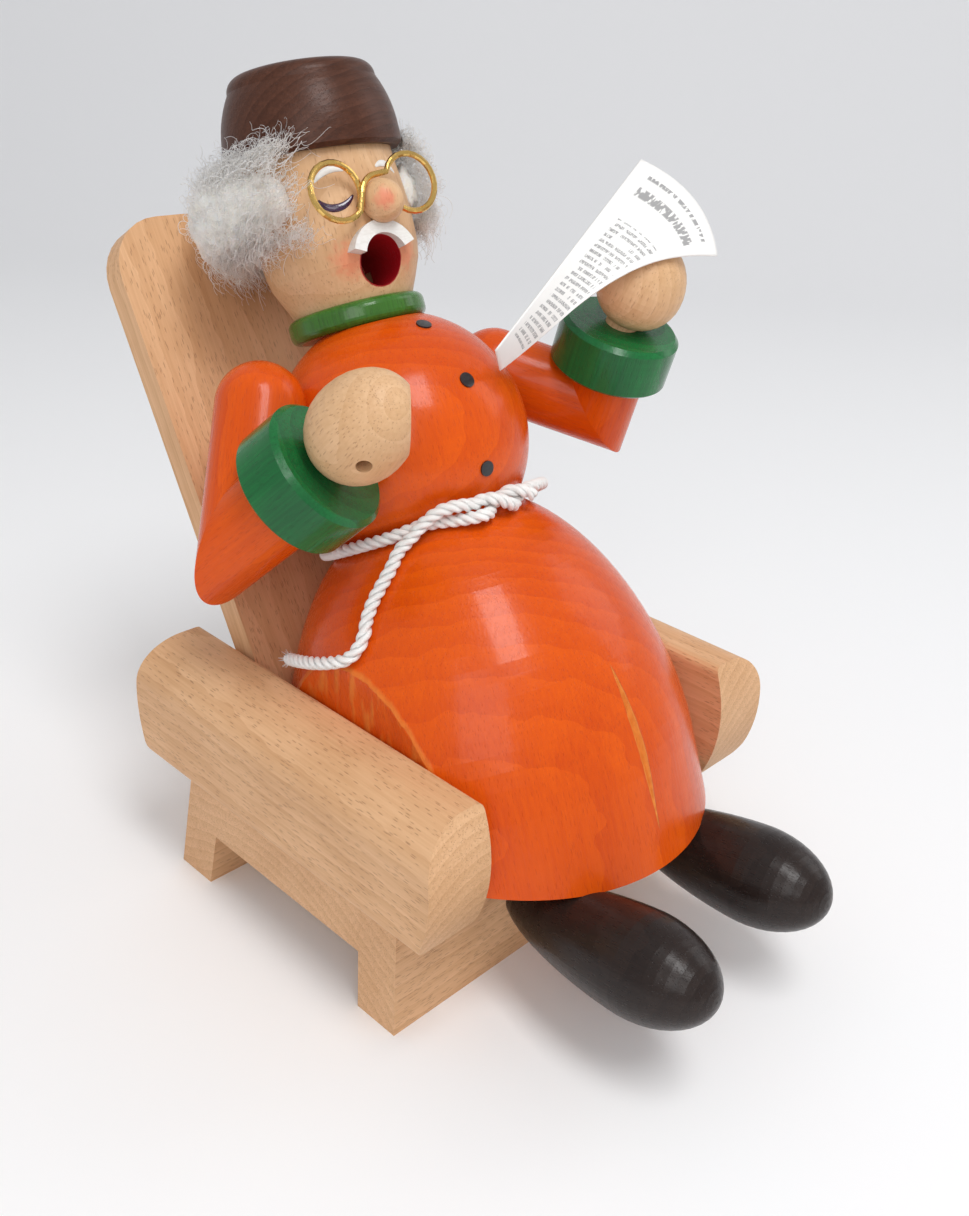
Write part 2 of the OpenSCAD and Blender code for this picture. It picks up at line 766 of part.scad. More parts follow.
function heading(p, i) = unit(p[min(i + 1, len(p) - 1)] - p[max(i - 1, 0)]);
function square_to(v, t) = unit(v - (v * t) * t);
function carried(p, v, i = 0) =
    i == len(p) ? [] : let (n = square_to(v, heading(p, i))) concat([n], carried(p, n, i + 1));

// A closed tube along the points of p, with its first corner towards side
module tube(p, r, sides, side = [0, 0, 1]) {
    n = carried(p, side);
    rows = len(p);
    points = [for (i = [0:rows - 1], k = [0:sides - 1]) let (a = 360 * k / sides, t = heading(p, i))
        p[i] + r * (cos(a) * n[i] + sin(a) * cross(t, n[i]))];
    skin = [for (i = [0:rows - 2], k = [0:sides - 1]) let (o = i * sides, a = o + k, b = o + (k + 1) % sides)
        each [[a, a + sides, b], [b, a + sides, b + sides]]];
    polyhedron(points, concat(skin, [[for (k = [0:sides - 1]) k]],
        [[for (k = [sides - 1:-1:0]) (rows - 1) * sides + k]]));
}

module belt_cord() {
    color("white") tube(cord_route, cord_r, cord_sides);
}

chair_base();
right_armrest();
left_armrest();
backrest();
armrest_dowels();
backrest_dowels();
seat_screws();
gown();
cone_plate();
plate_nail();
right_shoe();
left_shoe();
shoe_dowels();
belt_cord();
torso();
buttons();
collar();
head();
hat();
nose();
moustache();
spectacles();
hair();
right_upper_arm();
left_upper_arm();
right_forearm();
left_forearm();
right_cuff();
left_cuff();
right_hand();
left_hand();
shoulder_dowels();
letter();
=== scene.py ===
import logging
import math
from dataclasses import dataclass
from enum import Enum
from typing import Sequence

import bpy
import numpy as np
from mathutils import Matrix, Vector


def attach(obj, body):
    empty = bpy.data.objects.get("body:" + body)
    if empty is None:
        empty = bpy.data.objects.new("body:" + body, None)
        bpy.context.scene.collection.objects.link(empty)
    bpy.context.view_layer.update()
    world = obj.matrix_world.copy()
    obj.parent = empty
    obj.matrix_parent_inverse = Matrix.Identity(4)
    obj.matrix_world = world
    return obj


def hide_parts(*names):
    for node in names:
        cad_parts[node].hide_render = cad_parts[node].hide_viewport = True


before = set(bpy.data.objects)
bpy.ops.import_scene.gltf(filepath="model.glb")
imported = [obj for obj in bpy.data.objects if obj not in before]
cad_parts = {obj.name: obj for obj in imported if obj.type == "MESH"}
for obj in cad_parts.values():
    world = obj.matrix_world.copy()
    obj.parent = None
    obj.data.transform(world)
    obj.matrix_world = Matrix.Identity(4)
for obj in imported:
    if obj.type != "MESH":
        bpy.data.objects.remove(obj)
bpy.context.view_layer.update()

# Seated incense smoker: its looks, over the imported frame. Lengths in the classes are in
# millimetres of the part's own frame and become metres in the meshes and materials.

MM = 0.001
log = logging.getLogger("smoker")

Colour = tuple[float, float, float]
Triple = tuple[float, float, float]
Socket = bpy.types.NodeSocket
Node = bpy.types.Node
Material = bpy.types.Material
Piece = bpy.types.Object


class Body(Enum):
    """The two bodies that pieces ride on."""

    LOWER = "chair_and_gown"
    UPPER = "upper_body"


class Side(Enum):
    """The figure's own right and left."""

    RIGHT = -1
    LEFT = 1


# Meshes


def unit(v: np.ndarray) -> np.ndarray:
    """Vectors of length one: v / |v|."""
    return v / np.maximum(np.linalg.norm(v, axis=-1, keepdims=True), 1e-12)


@dataclass(frozen=True)
class Axis:
    """A leaning axis in the middle plane: its origin along Y and Z and its lean in degrees."""

    y: float
    z: float
    lean: float

    @property
    def up(self) -> Triple:
        """The direction along it."""
        return (0.0, math.sin(math.radians(self.lean)), math.cos(math.radians(self.lean)))

    @property
    def ahead(self) -> Triple:
        """The direction square to it, towards the front."""
        return (0.0, -math.cos(math.radians(self.lean)), math.sin(math.radians(self.lean)))

    def place(self, points: np.ndarray) -> np.ndarray:
        """Points of the leaning frame in the part's frame.

        A point (a, b, h) goes to (a, y + b cos t + h sin t, z - b sin t + h cos t), with t the lean.
        """
        c, s = math.cos(math.radians(self.lean)), math.sin(math.radians(self.lean))
        a, b, h = np.moveaxis(np.asarray(points, float), -1, 0)
        return np.stack([a, self.y + b * c + h * s, self.z - b * s + h * c], -1)

    def within(self, points: np.ndarray) -> np.ndarray:
        """Points of the part's frame in the leaning frame, the inverse of place."""
        c, s = math.cos(math.radians(self.lean)), math.sin(math.radians(self.lean))
        x, y, z = np.moveaxis(points - np.array([0, self.y, self.z]), -1, 0)
        return np.stack([x, y * c - z * s, y * s + z * c], -1)


BACKREST = Axis(40.3, 30.7, 30.0)
GOWN = Axis(15.8, 32.2, 22.0)
SHOES = Axis(-7.0, 19.8, 7.3)
TORSO = Axis(46.2, 93.1, 27.0)
COLLAR = Axis(60.7, 116.0, 24.5)
HAT = Axis(73.7, 144.3, 16.5)


def quads(rows: int, cols: int, wrap: bool) -> np.ndarray:
    """Faces of a grid of points: (i, j), (i, j+1), (i+1, j+1), (i+1, j).

    Args:
        rows: points along the first parameter.
        cols: points along the second parameter.
        wrap: whether the last column joins the first.

    Returns:
        An array of four indices a face.
    """
    i, j = np.meshgrid(np.arange(rows - 1), np.arange(cols if wrap else cols - 1), indexing="ij")
    k = (j + 1) % cols
    return np.stack([i * cols + j, i * cols + k, (i + 1) * cols + k, (i + 1) * cols + j], -1).reshape(-1, 4)


def mesh_piece(name: str, points: np.ndarray, faces: Sequence[np.ndarray], uv: np.ndarray | None = None,
               closed: bool = True) -> Piece:
    """Make a smooth mesh object at the origin from whole arrays.

    Args:
        name: the piece's name.
        points: its points in millimetres.
        faces: arrays of three or four indices a face.
        uv: a place on the piece's own map for each point.
        closed: whether it is a closed shell, which is then turned to face outwards.

    Returns:
        The new object, linked to the scene.
    """
    points = np.asarray(points, float).reshape(-1, 3) * MM
    if closed:
        tri = np.concatenate([f[:, [0, a, a + 1]] for f in faces for a in range(1, f.shape[1] - 1)])
        p, q, r = points[tri[:, 0]], points[tri[:, 1]], points[tri[:, 2]]
        if np.einsum("ij,ij->", p, np.cross(q, r)) < 0:
            faces = [f[:, ::-1] for f in faces]
    sizes = np.concatenate([np.full(len(f), f.shape[1]) for f in faces])
    loops = np.concatenate([f.ravel() for f in faces]).astype(np.int32)
    mesh = bpy.data.meshes.new(name)
    mesh.vertices.add(len(points))
    mesh.vertices.foreach_set("co", points.ravel())
    mesh.loops.add(len(loops))
    mesh.loops.foreach_set("vertex_index", loops)
    mesh.polygons.add(len(sizes))
    mesh.polygons.foreach_set("loop_start", np.concatenate([[0], np.cumsum(sizes)[:-1]]).astype(np.int32))
    mesh.polygons.foreach_set("use_smooth", np.ones(len(sizes), bool))
    if uv is not None:
        mesh.uv_layers.new(name="Lay").data.foreach_set("uv", np.asarray(uv, float)[loops].ravel())
    mesh.update(calc_edges=True)
    mesh.validate()
    piece = bpy.data.objects.new(name, mesh)
    bpy.context.scene.collection.objects.link(piece)
    log.info("piece %s: %d faces", name, len(sizes))
    return piece


def spline(route: np.ndarray, step: float) -> np.ndarray:
    """Points at even steps along a smooth curve through route.

    Between two points the curve is the cubic whose ends have the slopes
    (next - previous) / 2, a Catmull-Rom span.

    Args:
        route: the points it goes through.
        step: the distance between the points returned.

    Returns:
        The points along the curve.
    """
    r = np.asarray(route, float)
    p = np.concatenate([[2 * r[0] - r[1]], r, [2 * r[-1] - r[-2]]])
    t = np.linspace(0, 1, 40, endpoint=False)[None, :, None]
    a, b, c, d = (p[i:len(p) - 3 + i, None, :] for i in range(4))
    curve = 0.5 * (2 * b + (c - a) * t + (2 * a - 5 * b + 4 * c - d) * t**2 + (3 * b - a - 3 * c + d) * t**3)
    curve = np.concatenate([curve.reshape(-1, 3), r[-1:]])
    run = np.concatenate([[0], np.cumsum(np.linalg.norm(np.diff(curve, axis=0), axis=1))])
    at = np.linspace(0, run[-1], max(int(run[-1] / step), 2) + 1)
    return np.stack([np.interp(at, run, curve[:, k]) for k in range(3)], -1)


def closed_rings(name: str, grid: np.ndarray, ends: np.ndarray, uv: np.ndarray | None = None) -> Piece:
    """Join rows of rings into a skin and close its ends with fans.

    Args:
        name: the piece's name.
        grid: n rings of m points.
        ends: the middle point of the first and of the last ring.
        uv: a place on the map for each point and for both ends.

    Returns:
        The closed piece.
    """
    rows, cols = grid.shape[:2]
    k, last = np.arange(cols), (rows - 1) * cols
    fans = [np.stack([np.full(cols, rows * cols), (k + 1) % cols, k], -1),
            np.stack([np.full(cols, rows * cols + 1), last + k, last + (k + 1) % cols], -1)]
    return mesh_piece(name, np.concatenate([grid.reshape(-1, 3), ends]), [quads(rows, cols, True), *fans], uv)


def tube(name: str, line: np.ndarray, outward: np.ndarray, section: np.ndarray,
         uv: np.ndarray | None = None) -> Piece:
    """Carry a closed section along a line.

    With T the line's direction, N the part of outward square to T and B = T x N, the
    surface is line + x N + y B, where (x, y) is the section at that place.

    Args:
        name: the piece's name.
        line: n points of the centre line.
        outward: n directions that the section's x axis points along.
        section: n rows of m pairs (x, y).
        uv: n rows of m places on the map.

    Returns:
        The closed tube.
    """
    along = unit(np.gradient(line, axis=0))
    side = unit(outward - np.einsum("ij,ij->i", outward, along)[:, None] * along)
    cross = np.cross(along, side)
    skin = line[:, None] + section[..., :1] * side[:, None] + section[..., 1:] * cross[:, None]
    if uv is not None:
        uv = np.concatenate([uv.reshape(-1, 2), uv[0, :1], uv[-1, :1]])
    return closed_rings(name, skin, line[[0, -1]], uv)


def strands(name: str, lines: np.ndarray, radius: np.ndarray, sides: int = 3) -> Piece:
    """Many thin closed fibres as one mesh.

    Each fibre is its line + r (cos a N + sin a B) at a = 2 pi k / sides, with N and B
    square to the line.

    Args:
        name: the piece's name.
        lines: s fibres of n points.
        radius: s rows of n radii.
        sides: faces round a fibre.

    Returns:
        The piece.
    """
    s, n = lines.shape[:2]
    along = unit(np.gradient(lines, axis=1))
    ref = unit(np.cross(lines[:, -1] - lines[:, 0], [0.31, 0.47, 0.83]))[:, None]
    side = unit(np.cross(along, np.broadcast_to(ref, along.shape)))
    cross = np.cross(along, side)
    a = np.linspace(0, 2 * np.pi, sides, endpoint=False)[:, None]
    ring = radius[..., None, None] * (np.cos(a) * side[:, :, None] + np.sin(a) * cross[:, :, None])
    points = (lines[:, :, None] + ring).reshape(-1, 3)
    start = (np.arange(s) * n * sides)[:, None, None]
    skin = (quads(n, sides, True)[None] + start).reshape(-1, 4)
    k = np.arange(sides)
    ends = np.concatenate([(k[::-1] + start).reshape(-1, sides),
                           ((n - 1) * sides + k + start).reshape(-1, sides)])
    return mesh_piece(name, points, [skin, ends])


def waves(points: np.ndarray, size: float, seed: int) -> np.ndarray:
    """Smooth noise from -1 to 1: the mean of twelve sine waves of random direction.

    Args:
        points: where it is wanted.
        size: the wave length, in the points' unit.
        seed: the seed.

    Returns:
        One value a point.
    """
    rng = np.random.default_rng(seed)
    k = unit(rng.normal(size=(12, 3))) * (2 * np.pi / size) * rng.uniform(0.6, 1.7, (12, 1))
    return np.sin(points @ k.T + rng.uniform(0, 6.28, 12)).mean(-1) * 2.2


def join(piece: Piece, body: Body, material: Material,
         instead_of: Sequence[str] = ()) -> None:
    """Dress a new piece and seat it on its body.

    Args:
        piece: the piece.
        body: the body that it rides on.
        material: its finish.
        instead_of: the nodes that it stands for.
    """
    piece.data.materials.append(material)
    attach(piece, body.value)
    if instead_of:
        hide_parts(*instead_of)


# Materials


class Graph:
    """A node tree with short ways to add and link nodes."""

    def __init__(self, tree: bpy.types.NodeTree) -> None:
        """Work on this tree."""
        self.tree = tree

    def fill(self, node: Node, sockets: dict) -> Node:
        """Link sockets or set values on a node's inputs; a colour gets full alpha."""
        for key, value in sockets.items():
            socket = node.inputs[key]
            if isinstance(value, Socket):
                self.tree.links.new(value, socket)
            else:
                socket.default_value = (*value, 1.0) if socket.type == "RGBA" else value
        return node

    def add(self, kind: str, sockets: dict | None = None, **settings: object) -> Node:
        """Add a node.

        Args:
            kind: the node's type without its ShaderNode prefix.
            sockets: values or other nodes' sockets for its inputs.
            settings: its properties.

        Returns:
            The node.
        """
        node = self.tree.nodes.new("ShaderNode" + kind)
        for key, value in settings.items():
            setattr(node, key, value)
        return self.fill(node, sockets or {})

    def group(self, name: str, sockets: dict) -> Node:
        """Add one of the shared groups with its own values."""
        return self.add("Group", sockets, node_tree=GROUPS[name])

    def math(self, operation: str, *values: object) -> Socket:
        """One sum on values or sockets, with its operation's name."""
        return self.add("Math", dict(enumerate(values)), operation=operation).outputs[0]

    def mix(self, factor: object, a: object, b: object) -> Socket:
        """A mix of two colours by a factor."""
        return self.add("Mix", {0: factor, 6: a, 7: b}, data_type="RGBA").outputs[2]

    def span(self, value: object, low: float, high: float, to_low: float = 0, to_high: float = 1) -> Socket:
        """A value carried from one range to another, smoothly and clamped."""
        return self.add("MapRange", {0: value, 1: low, 2: high, 3: to_low, 4: to_high},
                        interpolation_type="SMOOTHSTEP").outputs[0]

    def scaled(self, vector: object, scale: Triple) -> Socket:
        """A vector times a scale along each axis."""
        return self.add("VectorMath", {0: vector, 1: scale}, operation="MULTIPLY").outputs[0]

    def along(self, vector: object, way: Triple) -> Socket:
        """How far a vector reaches along a direction."""
        return self.add("VectorMath", {0: vector, 1: way}, operation="DOT_PRODUCT").outputs["Value"]

    def place(self) -> Socket:
        """Object coordinates."""
        return self.add("TexCoord").outputs["Object"]

    def framed(self, origin: Triple, axis: Triple) -> Socket:
        """Object coordinates in a frame with its Z along axis, from an origin in millimetres."""
        turn = Vector(axis).to_track_quat("Z", "Y").to_euler()
        return self.add("Mapping", {"Vector": self.place(), "Location": tuple(MM * c for c in origin),
                                    "Rotation": tuple(turn)}, vector_type="TEXTURE").outputs[0]

    def noise(self, vector: object, scale: float, detail: float = 2, rough: float = 0.5) -> Socket:
        """Noise from 0 to 1."""
        return self.add("TexNoise", {"Vector": vector, "Scale": scale, "Detail": detail,
                                     "Roughness": rough}).outputs[0]


def shared(name: str, inputs: dict[str, tuple[str, object]],
           outputs: dict[str, str]) -> tuple[Graph, Node, Node]:
    """Start a node group.

    Args:
        name: the group's name.
        inputs: socket type and first value by name.
        outputs: socket type by name.

    Returns:
        Its graph, its input node and its output node.
    """
    tree = bpy.data.node_groups.new(name, "ShaderNodeTree")
    for key, (kind, value) in inputs.items():
        socket = tree.interface.new_socket(name=key, in_out="INPUT", socket_type="NodeSocket" + kind)
        if value is not None:
            socket.default_value = (*value, 1.0) if kind == "Color" else value
    for key, kind in outputs.items():
        tree.interface.new_socket(name=key, in_out="OUTPUT", socket_type="NodeSocket" + kind)
    return Graph(tree), tree.nodes.new("NodeGroupInput"), tree.nodes.new("NodeGroupOutput")


def wood_grain() -> bpy.types.NodeTree:
    """Beech with its grain along local Z.

    The rings are a saw of the distance to the Z axis, bent by noise. Fibres are noise
    drawn out along Z. The flecks are cells drawn out along Z, cut where a point is near
    its cell's middle.

    Returns:
        The group, with outputs Color and Height.
    """
    fibre_scale, fleck_scale, bend_size = (1700, 1700, 55), (3300, 3300, 430), 0.003
    g, i, o = shared("wood_grain", {
        "Vector": ("Vector", None), "Light": ("Color", (0.7, 0.45, 0.25)),
        "Dark": ("Color", (0.5, 0.3, 0.15)),
        "Fleck Colour": ("Color", (0.3, 0.14, 0.06)), "Fleck": ("Float", 0.6), "Ring Width": ("Float", 0.003),
        "Figure": ("Float", 1.0)}, {"Color": "Color", "Height": "Float"})
    v = i.outputs["Vector"]
    bend = g.add("TexNoise", {"Vector": v, "Scale": 45, "Detail": 2}).outputs[1]
    bent = g.add("VectorMath", {0: bend, 1: (bend_size,) * 3, 2: v}, operation="MULTIPLY_ADD").outputs[0]
    ring = g.add("TexWave", {"Vector": bent, "Scale": g.math("DIVIDE", WAVE_PERIOD, i.outputs["Ring Width"]),
                             "Distortion": 1.4, "Detail": 2, "Detail Scale": 1.2},
                 wave_type="RINGS", rings_direction="Z", wave_profile="SAW").outputs[1]
    fibre = g.noise(g.scaled(v, fibre_scale), 1, 3, 0.6)
    broad = g.noise(v, 60, 2)
    tone = g.math("ADD", g.math("MULTIPLY", ring, 0.45), g.math("MULTIPLY", g.span(fibre, 0.3, 0.72), 0.4))
    tone = g.math("ADD", tone, g.math("MULTIPLY", g.span(broad, 0.35, 0.65), 0.3))
    tone = g.math("MULTIPLY", g.math("SUBTRACT", tone, 0.08), i.outputs["Figure"])
    cell = g.add("TexVoronoi", {"Vector": g.scaled(v, fleck_scale), "Scale": 1, "Randomness": 1})
    chosen = g.math("GREATER_THAN", g.add("SeparateColor", {0: cell.outputs["Color"]}).outputs[0], 0.52)
    fleck = g.math("MULTIPLY", g.span(cell.outputs["Distance"], 0.2, 0.36, 1, 0), chosen)
    flecked = g.math("MULTIPLY", fleck, i.outputs["Fleck"])
    colour = g.mix(g.add("Clamp", {0: tone}).outputs[0], i.outputs["Light"], i.outputs["Dark"])
    g.fill(o, {"Color": g.mix(flecked, colour, i.outputs["Fleck Colour"]),
               "Height": g.math("SUBTRACT", g.math("MULTIPLY", fibre, 0.5),
                                 g.math("MULTIPLY", flecked, 0.8))})
    return g.tree


def turning_marks() -> bpy.types.NodeTree:
    """The fine rings that a tool leaves round a turned piece, square to local Z.

    The value is noise drawn out round the axis: quick along Z and slow across.

    Returns:
        The group, with outputs Mark (0 to 1) and Height.
    """
    g, i, o = shared("turning_marks", {"Vector": ("Vector", None), "Amount": ("Float", 1.0)},
                     {"Mark": "Float", "Height": "Float"})
    fine = g.noise(g.scaled(i.outputs["Vector"], (35, 35, 2300)), 1, 2, 0.7)
    coarse = g.noise(g.scaled(i.outputs["Vector"], (22, 22, 620)), 1, 1)
    both = g.math("ADD", g.math("MULTIPLY", fine, 0.6), g.math("MULTIPLY", coarse, 0.4))
    g.fill(o, {"Mark": g.math("MULTIPLY", g.span(both, 0.36, 0.64), i.outputs["Amount"]),
               "Height": g.math("MULTIPLY", fine, i.outputs["Amount"])})
    return g.tree


def soft_spot() -> bpy.types.NodeTree:
    """A round patch with a ragged edge: 1 within Radius of Centre, 0 past Radius + Edge.

    Returns:
        The group, with the output Mask.
    """
    g, i, o = shared("soft_spot", {"Vector": ("Vector", None), "Centre": ("Vector", (0, 0, 0)),
                                   "Radius": ("Float", 0.003), "Edge": ("Float", 0.001)}, {"Mask": "Float"})
    v, centre, radius, edge = (i.outputs[key] for key in ("Vector", "Centre", "Radius", "Edge"))
    away = g.add("VectorMath", {0: v, 1: centre}, operation="DISTANCE").outputs["Value"]
    ragged = g.math("MULTIPLY", g.math("SUBTRACT", g.noise(v, 900, 2), 0.5), edge)
    over = g.math("DIVIDE", g.math("SUBTRACT", g.math("ADD", away, ragged), radius), edge)
    g.fill(o, {"Mask": g.span(over, 0, 1, 1, 0)})
    return g.tree


# The wave texture repeats after this length at scale 1
WAVE_PERIOD = 0.314
GROUPS = {"grain": wood_grain(), "turning": turning_marks(), "spot": soft_spot()}


@dataclass(frozen=True)
class Lie:
    """Where a piece's grain lies: the heart's place and the direction along the fibres."""

    heart: Triple
    along: Triple

    def vector(self, g: Graph) -> Socket:
        """Object coordinates turned so that Z runs along the fibres from the heart."""
        return g.framed(self.heart, self.along)


@dataclass(frozen=True)
class Patch:
    """A painted or worn patch: its middle, radius and edge in millimetres.

    With an axis it is a round column from the middle along the axis.
    """

    centre: Triple
    radius: float
    edge: float
    colour: Colour
    strength: float = 1.0
    axis: Triple | None = None

    def mask(self, g: Graph, place: Socket) -> Socket:
        """Its strength where it covers the piece, 0 elsewhere."""
        centre, limit = tuple(MM * c for c in self.centre), None
        if self.axis:
            place = g.framed(self.centre, self.axis)
            limit = g.math("GREATER_THAN", g.add("SeparateXYZ", {0: place}).outputs[2], 0.0)
            place, centre = g.scaled(place, (1, 1, 0)), (0, 0, 0)
        spot = g.group("spot", {"Vector": place, "Centre": centre, "Radius": self.radius * MM,
                                "Edge": self.edge * MM}).outputs["Mask"]
        return g.math("MULTIPLY", g.math("MULTIPLY", spot, limit) if limit else spot, self.strength)


@dataclass(frozen=True)
class Wood:
    """Bare, stained or painted beech."""

    name: str
    light: Colour
    dark: Colour
    fleck_colour: Colour
    fleck: float
    roughness: float
    turned: float = 0.0
    mark: Colour = (0.5, 0.3, 0.15)
    figure: float = 1.0
    ring: float = 3.0
    coat: float = 0.0
    relief: float = 1.0
    specular: float = 0.3

    def material(self, piece: str, lie: Lie, patches: Sequence[Patch] = (),
                 bare: "Bare | None" = None) -> Material:
        """Make this finish for one piece.

        Args:
            piece: the piece's name.
            lie: how its grain lies.
            patches: paint or wear on it.
            bare: where a cut or an edge shows paler wood.

        Returns:
            The material.
        """
        mat, g, shader = start(f"{self.name}_{piece}")
        v = lie.vector(g)
        grain = g.group("grain", {"Vector": v, "Light": self.light, "Dark": self.dark, "Figure": self.figure,
                                  "Fleck Colour": self.fleck_colour, "Fleck": self.fleck,
                                  "Ring Width": self.ring * MM})
        colour, height = grain.outputs["Color"], grain.outputs["Height"]
        rough = g.math("MULTIPLY_ADD", height, 0.16, self.roughness - 0.03)
        if self.turned:
            marks = g.group("turning", {"Vector": v, "Amount": self.turned})
            colour = g.mix(marks.outputs["Mark"], colour, self.mark)
            height = g.math("MULTIPLY_ADD", marks.outputs["Height"], 0.6, height)
        place = g.place()
        if bare:
            seen = bare.mask(g, place)
            colour = g.mix(seen, colour, g.mix(g.noise(place, 700, 3), bare.colour, bare.deep))
            torn = g.math("MULTIPLY", seen, g.noise(g.scaled(place, bare.tear_scale), 1, 3))
            height = g.math("MULTIPLY_ADD", torn, 3.0, height)
            rough = g.math("MULTIPLY_ADD", seen, 0.3, rough)
        for patch in patches:
            colour = g.mix(patch.mask(g, place), colour, patch.colour)
        finish(g, shader, colour, rough, height, 0.00012 * self.relief)
        g.fill(shader, {"Specular IOR Level": self.specular, "Coat Weight": self.coat,
                        "Coat Roughness": 0.12})
        return mat


@dataclass(frozen=True)
class Bare:
    """Where a cut shows under the stain: in the groove's V and on the rims of the flats.

    A wall of the V is where slope |x| = d, with d = n.p - at the height above its bottom edge.
    """

    slope: float
    normal: Triple
    at: float
    colour: Colour
    deep: Colour
    flats: float
    tear_scale: Triple = (3000, 500, 500)

    def mask(self, g: Graph, place: Socket) -> Socket:
        """1 in the groove (slope |x| - d near 0, in front), about half on the flats' rims, 0 elsewhere."""
        axes = g.add("SeparateXYZ", {0: place}).outputs
        ragged = g.math("MULTIPLY_ADD", g.noise(g.scaled(place, (400, 400, 120)), 1, 2), 0.0006, -0.0003)
        across = g.math("ADD", g.math("ABSOLUTE", axes[0]), ragged)
        above = g.math("SUBTRACT", g.along(place, self.normal), self.at * MM)
        over = g.math("SUBTRACT", g.math("MULTIPLY", across, self.slope), above)
        groove = g.math("MULTIPLY", g.span(over, 0.05 * MM, 0.4 * MM, 1, 0),
                        g.math("LESS_THAN", axes[1], 0.0))
        rim = g.math("MULTIPLY", g.span(across, (self.flats - 0.75) * MM, (self.flats - 0.3) * MM),
                     g.span(across, (self.flats - 0.12) * MM, self.flats * MM, 1, 0))
        return g.math("MAXIMUM", groove, g.math("MULTIPLY", rim, 0.55))


def start(name: str) -> tuple[Material, Graph, Node]:
    """A new material with its graph and its Principled shader."""
    mat = bpy.data.materials.new(name)
    mat.use_nodes = True
    return mat, Graph(mat.node_tree), mat.node_tree.nodes["Principled BSDF"]


def finish(g: Graph, shader: Node, colour: object, rough: object, height: object, depth: float) -> None:
    """Link colour, roughness and relief to the shader.

    Args:
        g: the material's graph.
        shader: its Principled shader.
        colour: the colour.
        rough: the roughness.
        height: the relief, 0 to 1.
        depth: the relief's depth in metres.
    """
    bump = g.add("Bump", {"Height": height, "Strength": 1.0, "Distance": depth})
    g.fill(shader, {"Base Color": colour, "Roughness": rough, "Normal": bump.outputs[0]})


@dataclass(frozen=True)
class Metal:
    """Brass wire, tinplate or steel, with fine scratches and a little tarnish."""

    name: str
    colour: Colour
    tarnish: Colour
    roughness: float

    def material(self) -> Material:
        """Make the finish: colour and roughness vary with noise in Object coordinates."""
        mat, g, shader = start(self.name)
        place = g.place()
        dull = g.span(g.noise(place, 420, 4, 0.6), 0.45, 0.8)
        scratch = g.noise(g.scaled(place, (5000, 900, 900)), 1, 2)
        finish(g, shader, g.mix(g.math("MULTIPLY", dull, 0.5), self.colour, self.tarnish),
               g.math("MULTIPLY_ADD", dull, 0.2, self.roughness), scratch, 0.00002)
        shader.inputs["Metallic"].default_value = 1.0
        return mat


@dataclass(frozen=True)
class Paint:
    """Thick brushed or dipped paint."""

    name: str
    colour: Colour
    shade: Colour
    roughness: float
    coat: float = 0.0

    def material(self) -> Material:
        """Make the finish: brush streaks and small pits from noise."""
        mat, g, shader = start(self.name)
        place = g.place()
        streak = g.noise(g.scaled(place, (900, 250, 2200)), 1, 3, 0.6)
        finish(g, shader, g.mix(g.span(streak, 0.3, 0.75), self.colour, self.shade),
               g.math("MULTIPLY_ADD", streak, 0.15, self.roughness), streak, 0.00006)
        shader.inputs["Coat Weight"].default_value = self.coat
        return mat


BEECH = Wood("beech", (0.78, 0.475, 0.262), (0.60, 0.325, 0.155), (0.31, 0.135, 0.055), 0.5, 0.5, ring=2.6)
BARE_TURNED = Wood("turned_beech", (0.76, 0.49, 0.28), (0.62, 0.36, 0.18), (0.36, 0.17, 0.08), 0.45, 0.42,
                   turned=0.16, mark=(0.62, 0.37, 0.19), ring=2.4)
ORANGE = Wood("orange_stain", (0.76, 0.105, 0.003), (0.47, 0.030, 0.002), (0.34, 0.020, 0.002), 0.28, 0.26,
              turned=0.36, mark=(0.66, 0.08, 0.004), figure=0.6, ring=2.2, coat=0.2, relief=0.8,
              specular=0.16)
GREEN = Wood("green_stain", (0.010, 0.185, 0.042), (0.007, 0.080, 0.024), (0.005, 0.04, 0.012), 0.35, 0.22,
             turned=0.3, mark=(0.008, 0.105, 0.028), ring=3.0, coat=0.3, relief=0.8, specular=0.2)
COLLAR_GREEN = Wood("collar_stain", (0.055, 0.21, 0.022), (0.03, 0.10, 0.014), (0.02, 0.05, 0.008), 0.3, 0.22,
                    turned=0.3, mark=(0.04, 0.15, 0.016), ring=3.0, coat=0.4, specular=0.25)
BROWN = Wood("brown_stain", (0.115, 0.044, 0.026), (0.050, 0.018, 0.010), (0.030, 0.012, 0.009), 0.3, 0.34,
             turned=0.35, mark=(0.060, 0.022, 0.013), ring=2.2, relief=0.7, specular=0.2)
SHOE_BROWN = Wood("shoe_stain", (0.026, 0.016, 0.013), (0.013, 0.008, 0.007), (0.006, 0.004, 0.004),
                  0.4, 0.28, turned=0.2, mark=(0.022, 0.013, 0.011), ring=2.2, relief=0.7)
DOWEL = Wood("dowel_wood", (0.72, 0.48, 0.28), (0.55, 0.33, 0.17), (0.3, 0.14, 0.06), 0.4, 0.55, ring=2.5)
BRASS = Metal("brass_wire", (0.80, 0.52, 0.16), (0.42, 0.25, 0.07), 0.2)
TIN = Metal("tinplate", (0.62, 0.62, 0.60), (0.34, 0.31, 0.28), 0.32)
STEEL = Metal("screw_steel", (0.60, 0.50, 0.28), (0.32, 0.26, 0.16), 0.3)
BLACK = Paint("black_paint", (0.008, 0.009, 0.011), (0.014, 0.015, 0.018), 0.25, 0.3)
WHITE = Paint("white_paint", (0.84, 0.83, 0.80), (0.74, 0.72, 0.68), 0.36)
VIOLET = Paint("violet_paint", (0.045, 0.008, 0.055), (0.022, 0.006, 0.032), 0.14, 0.8)


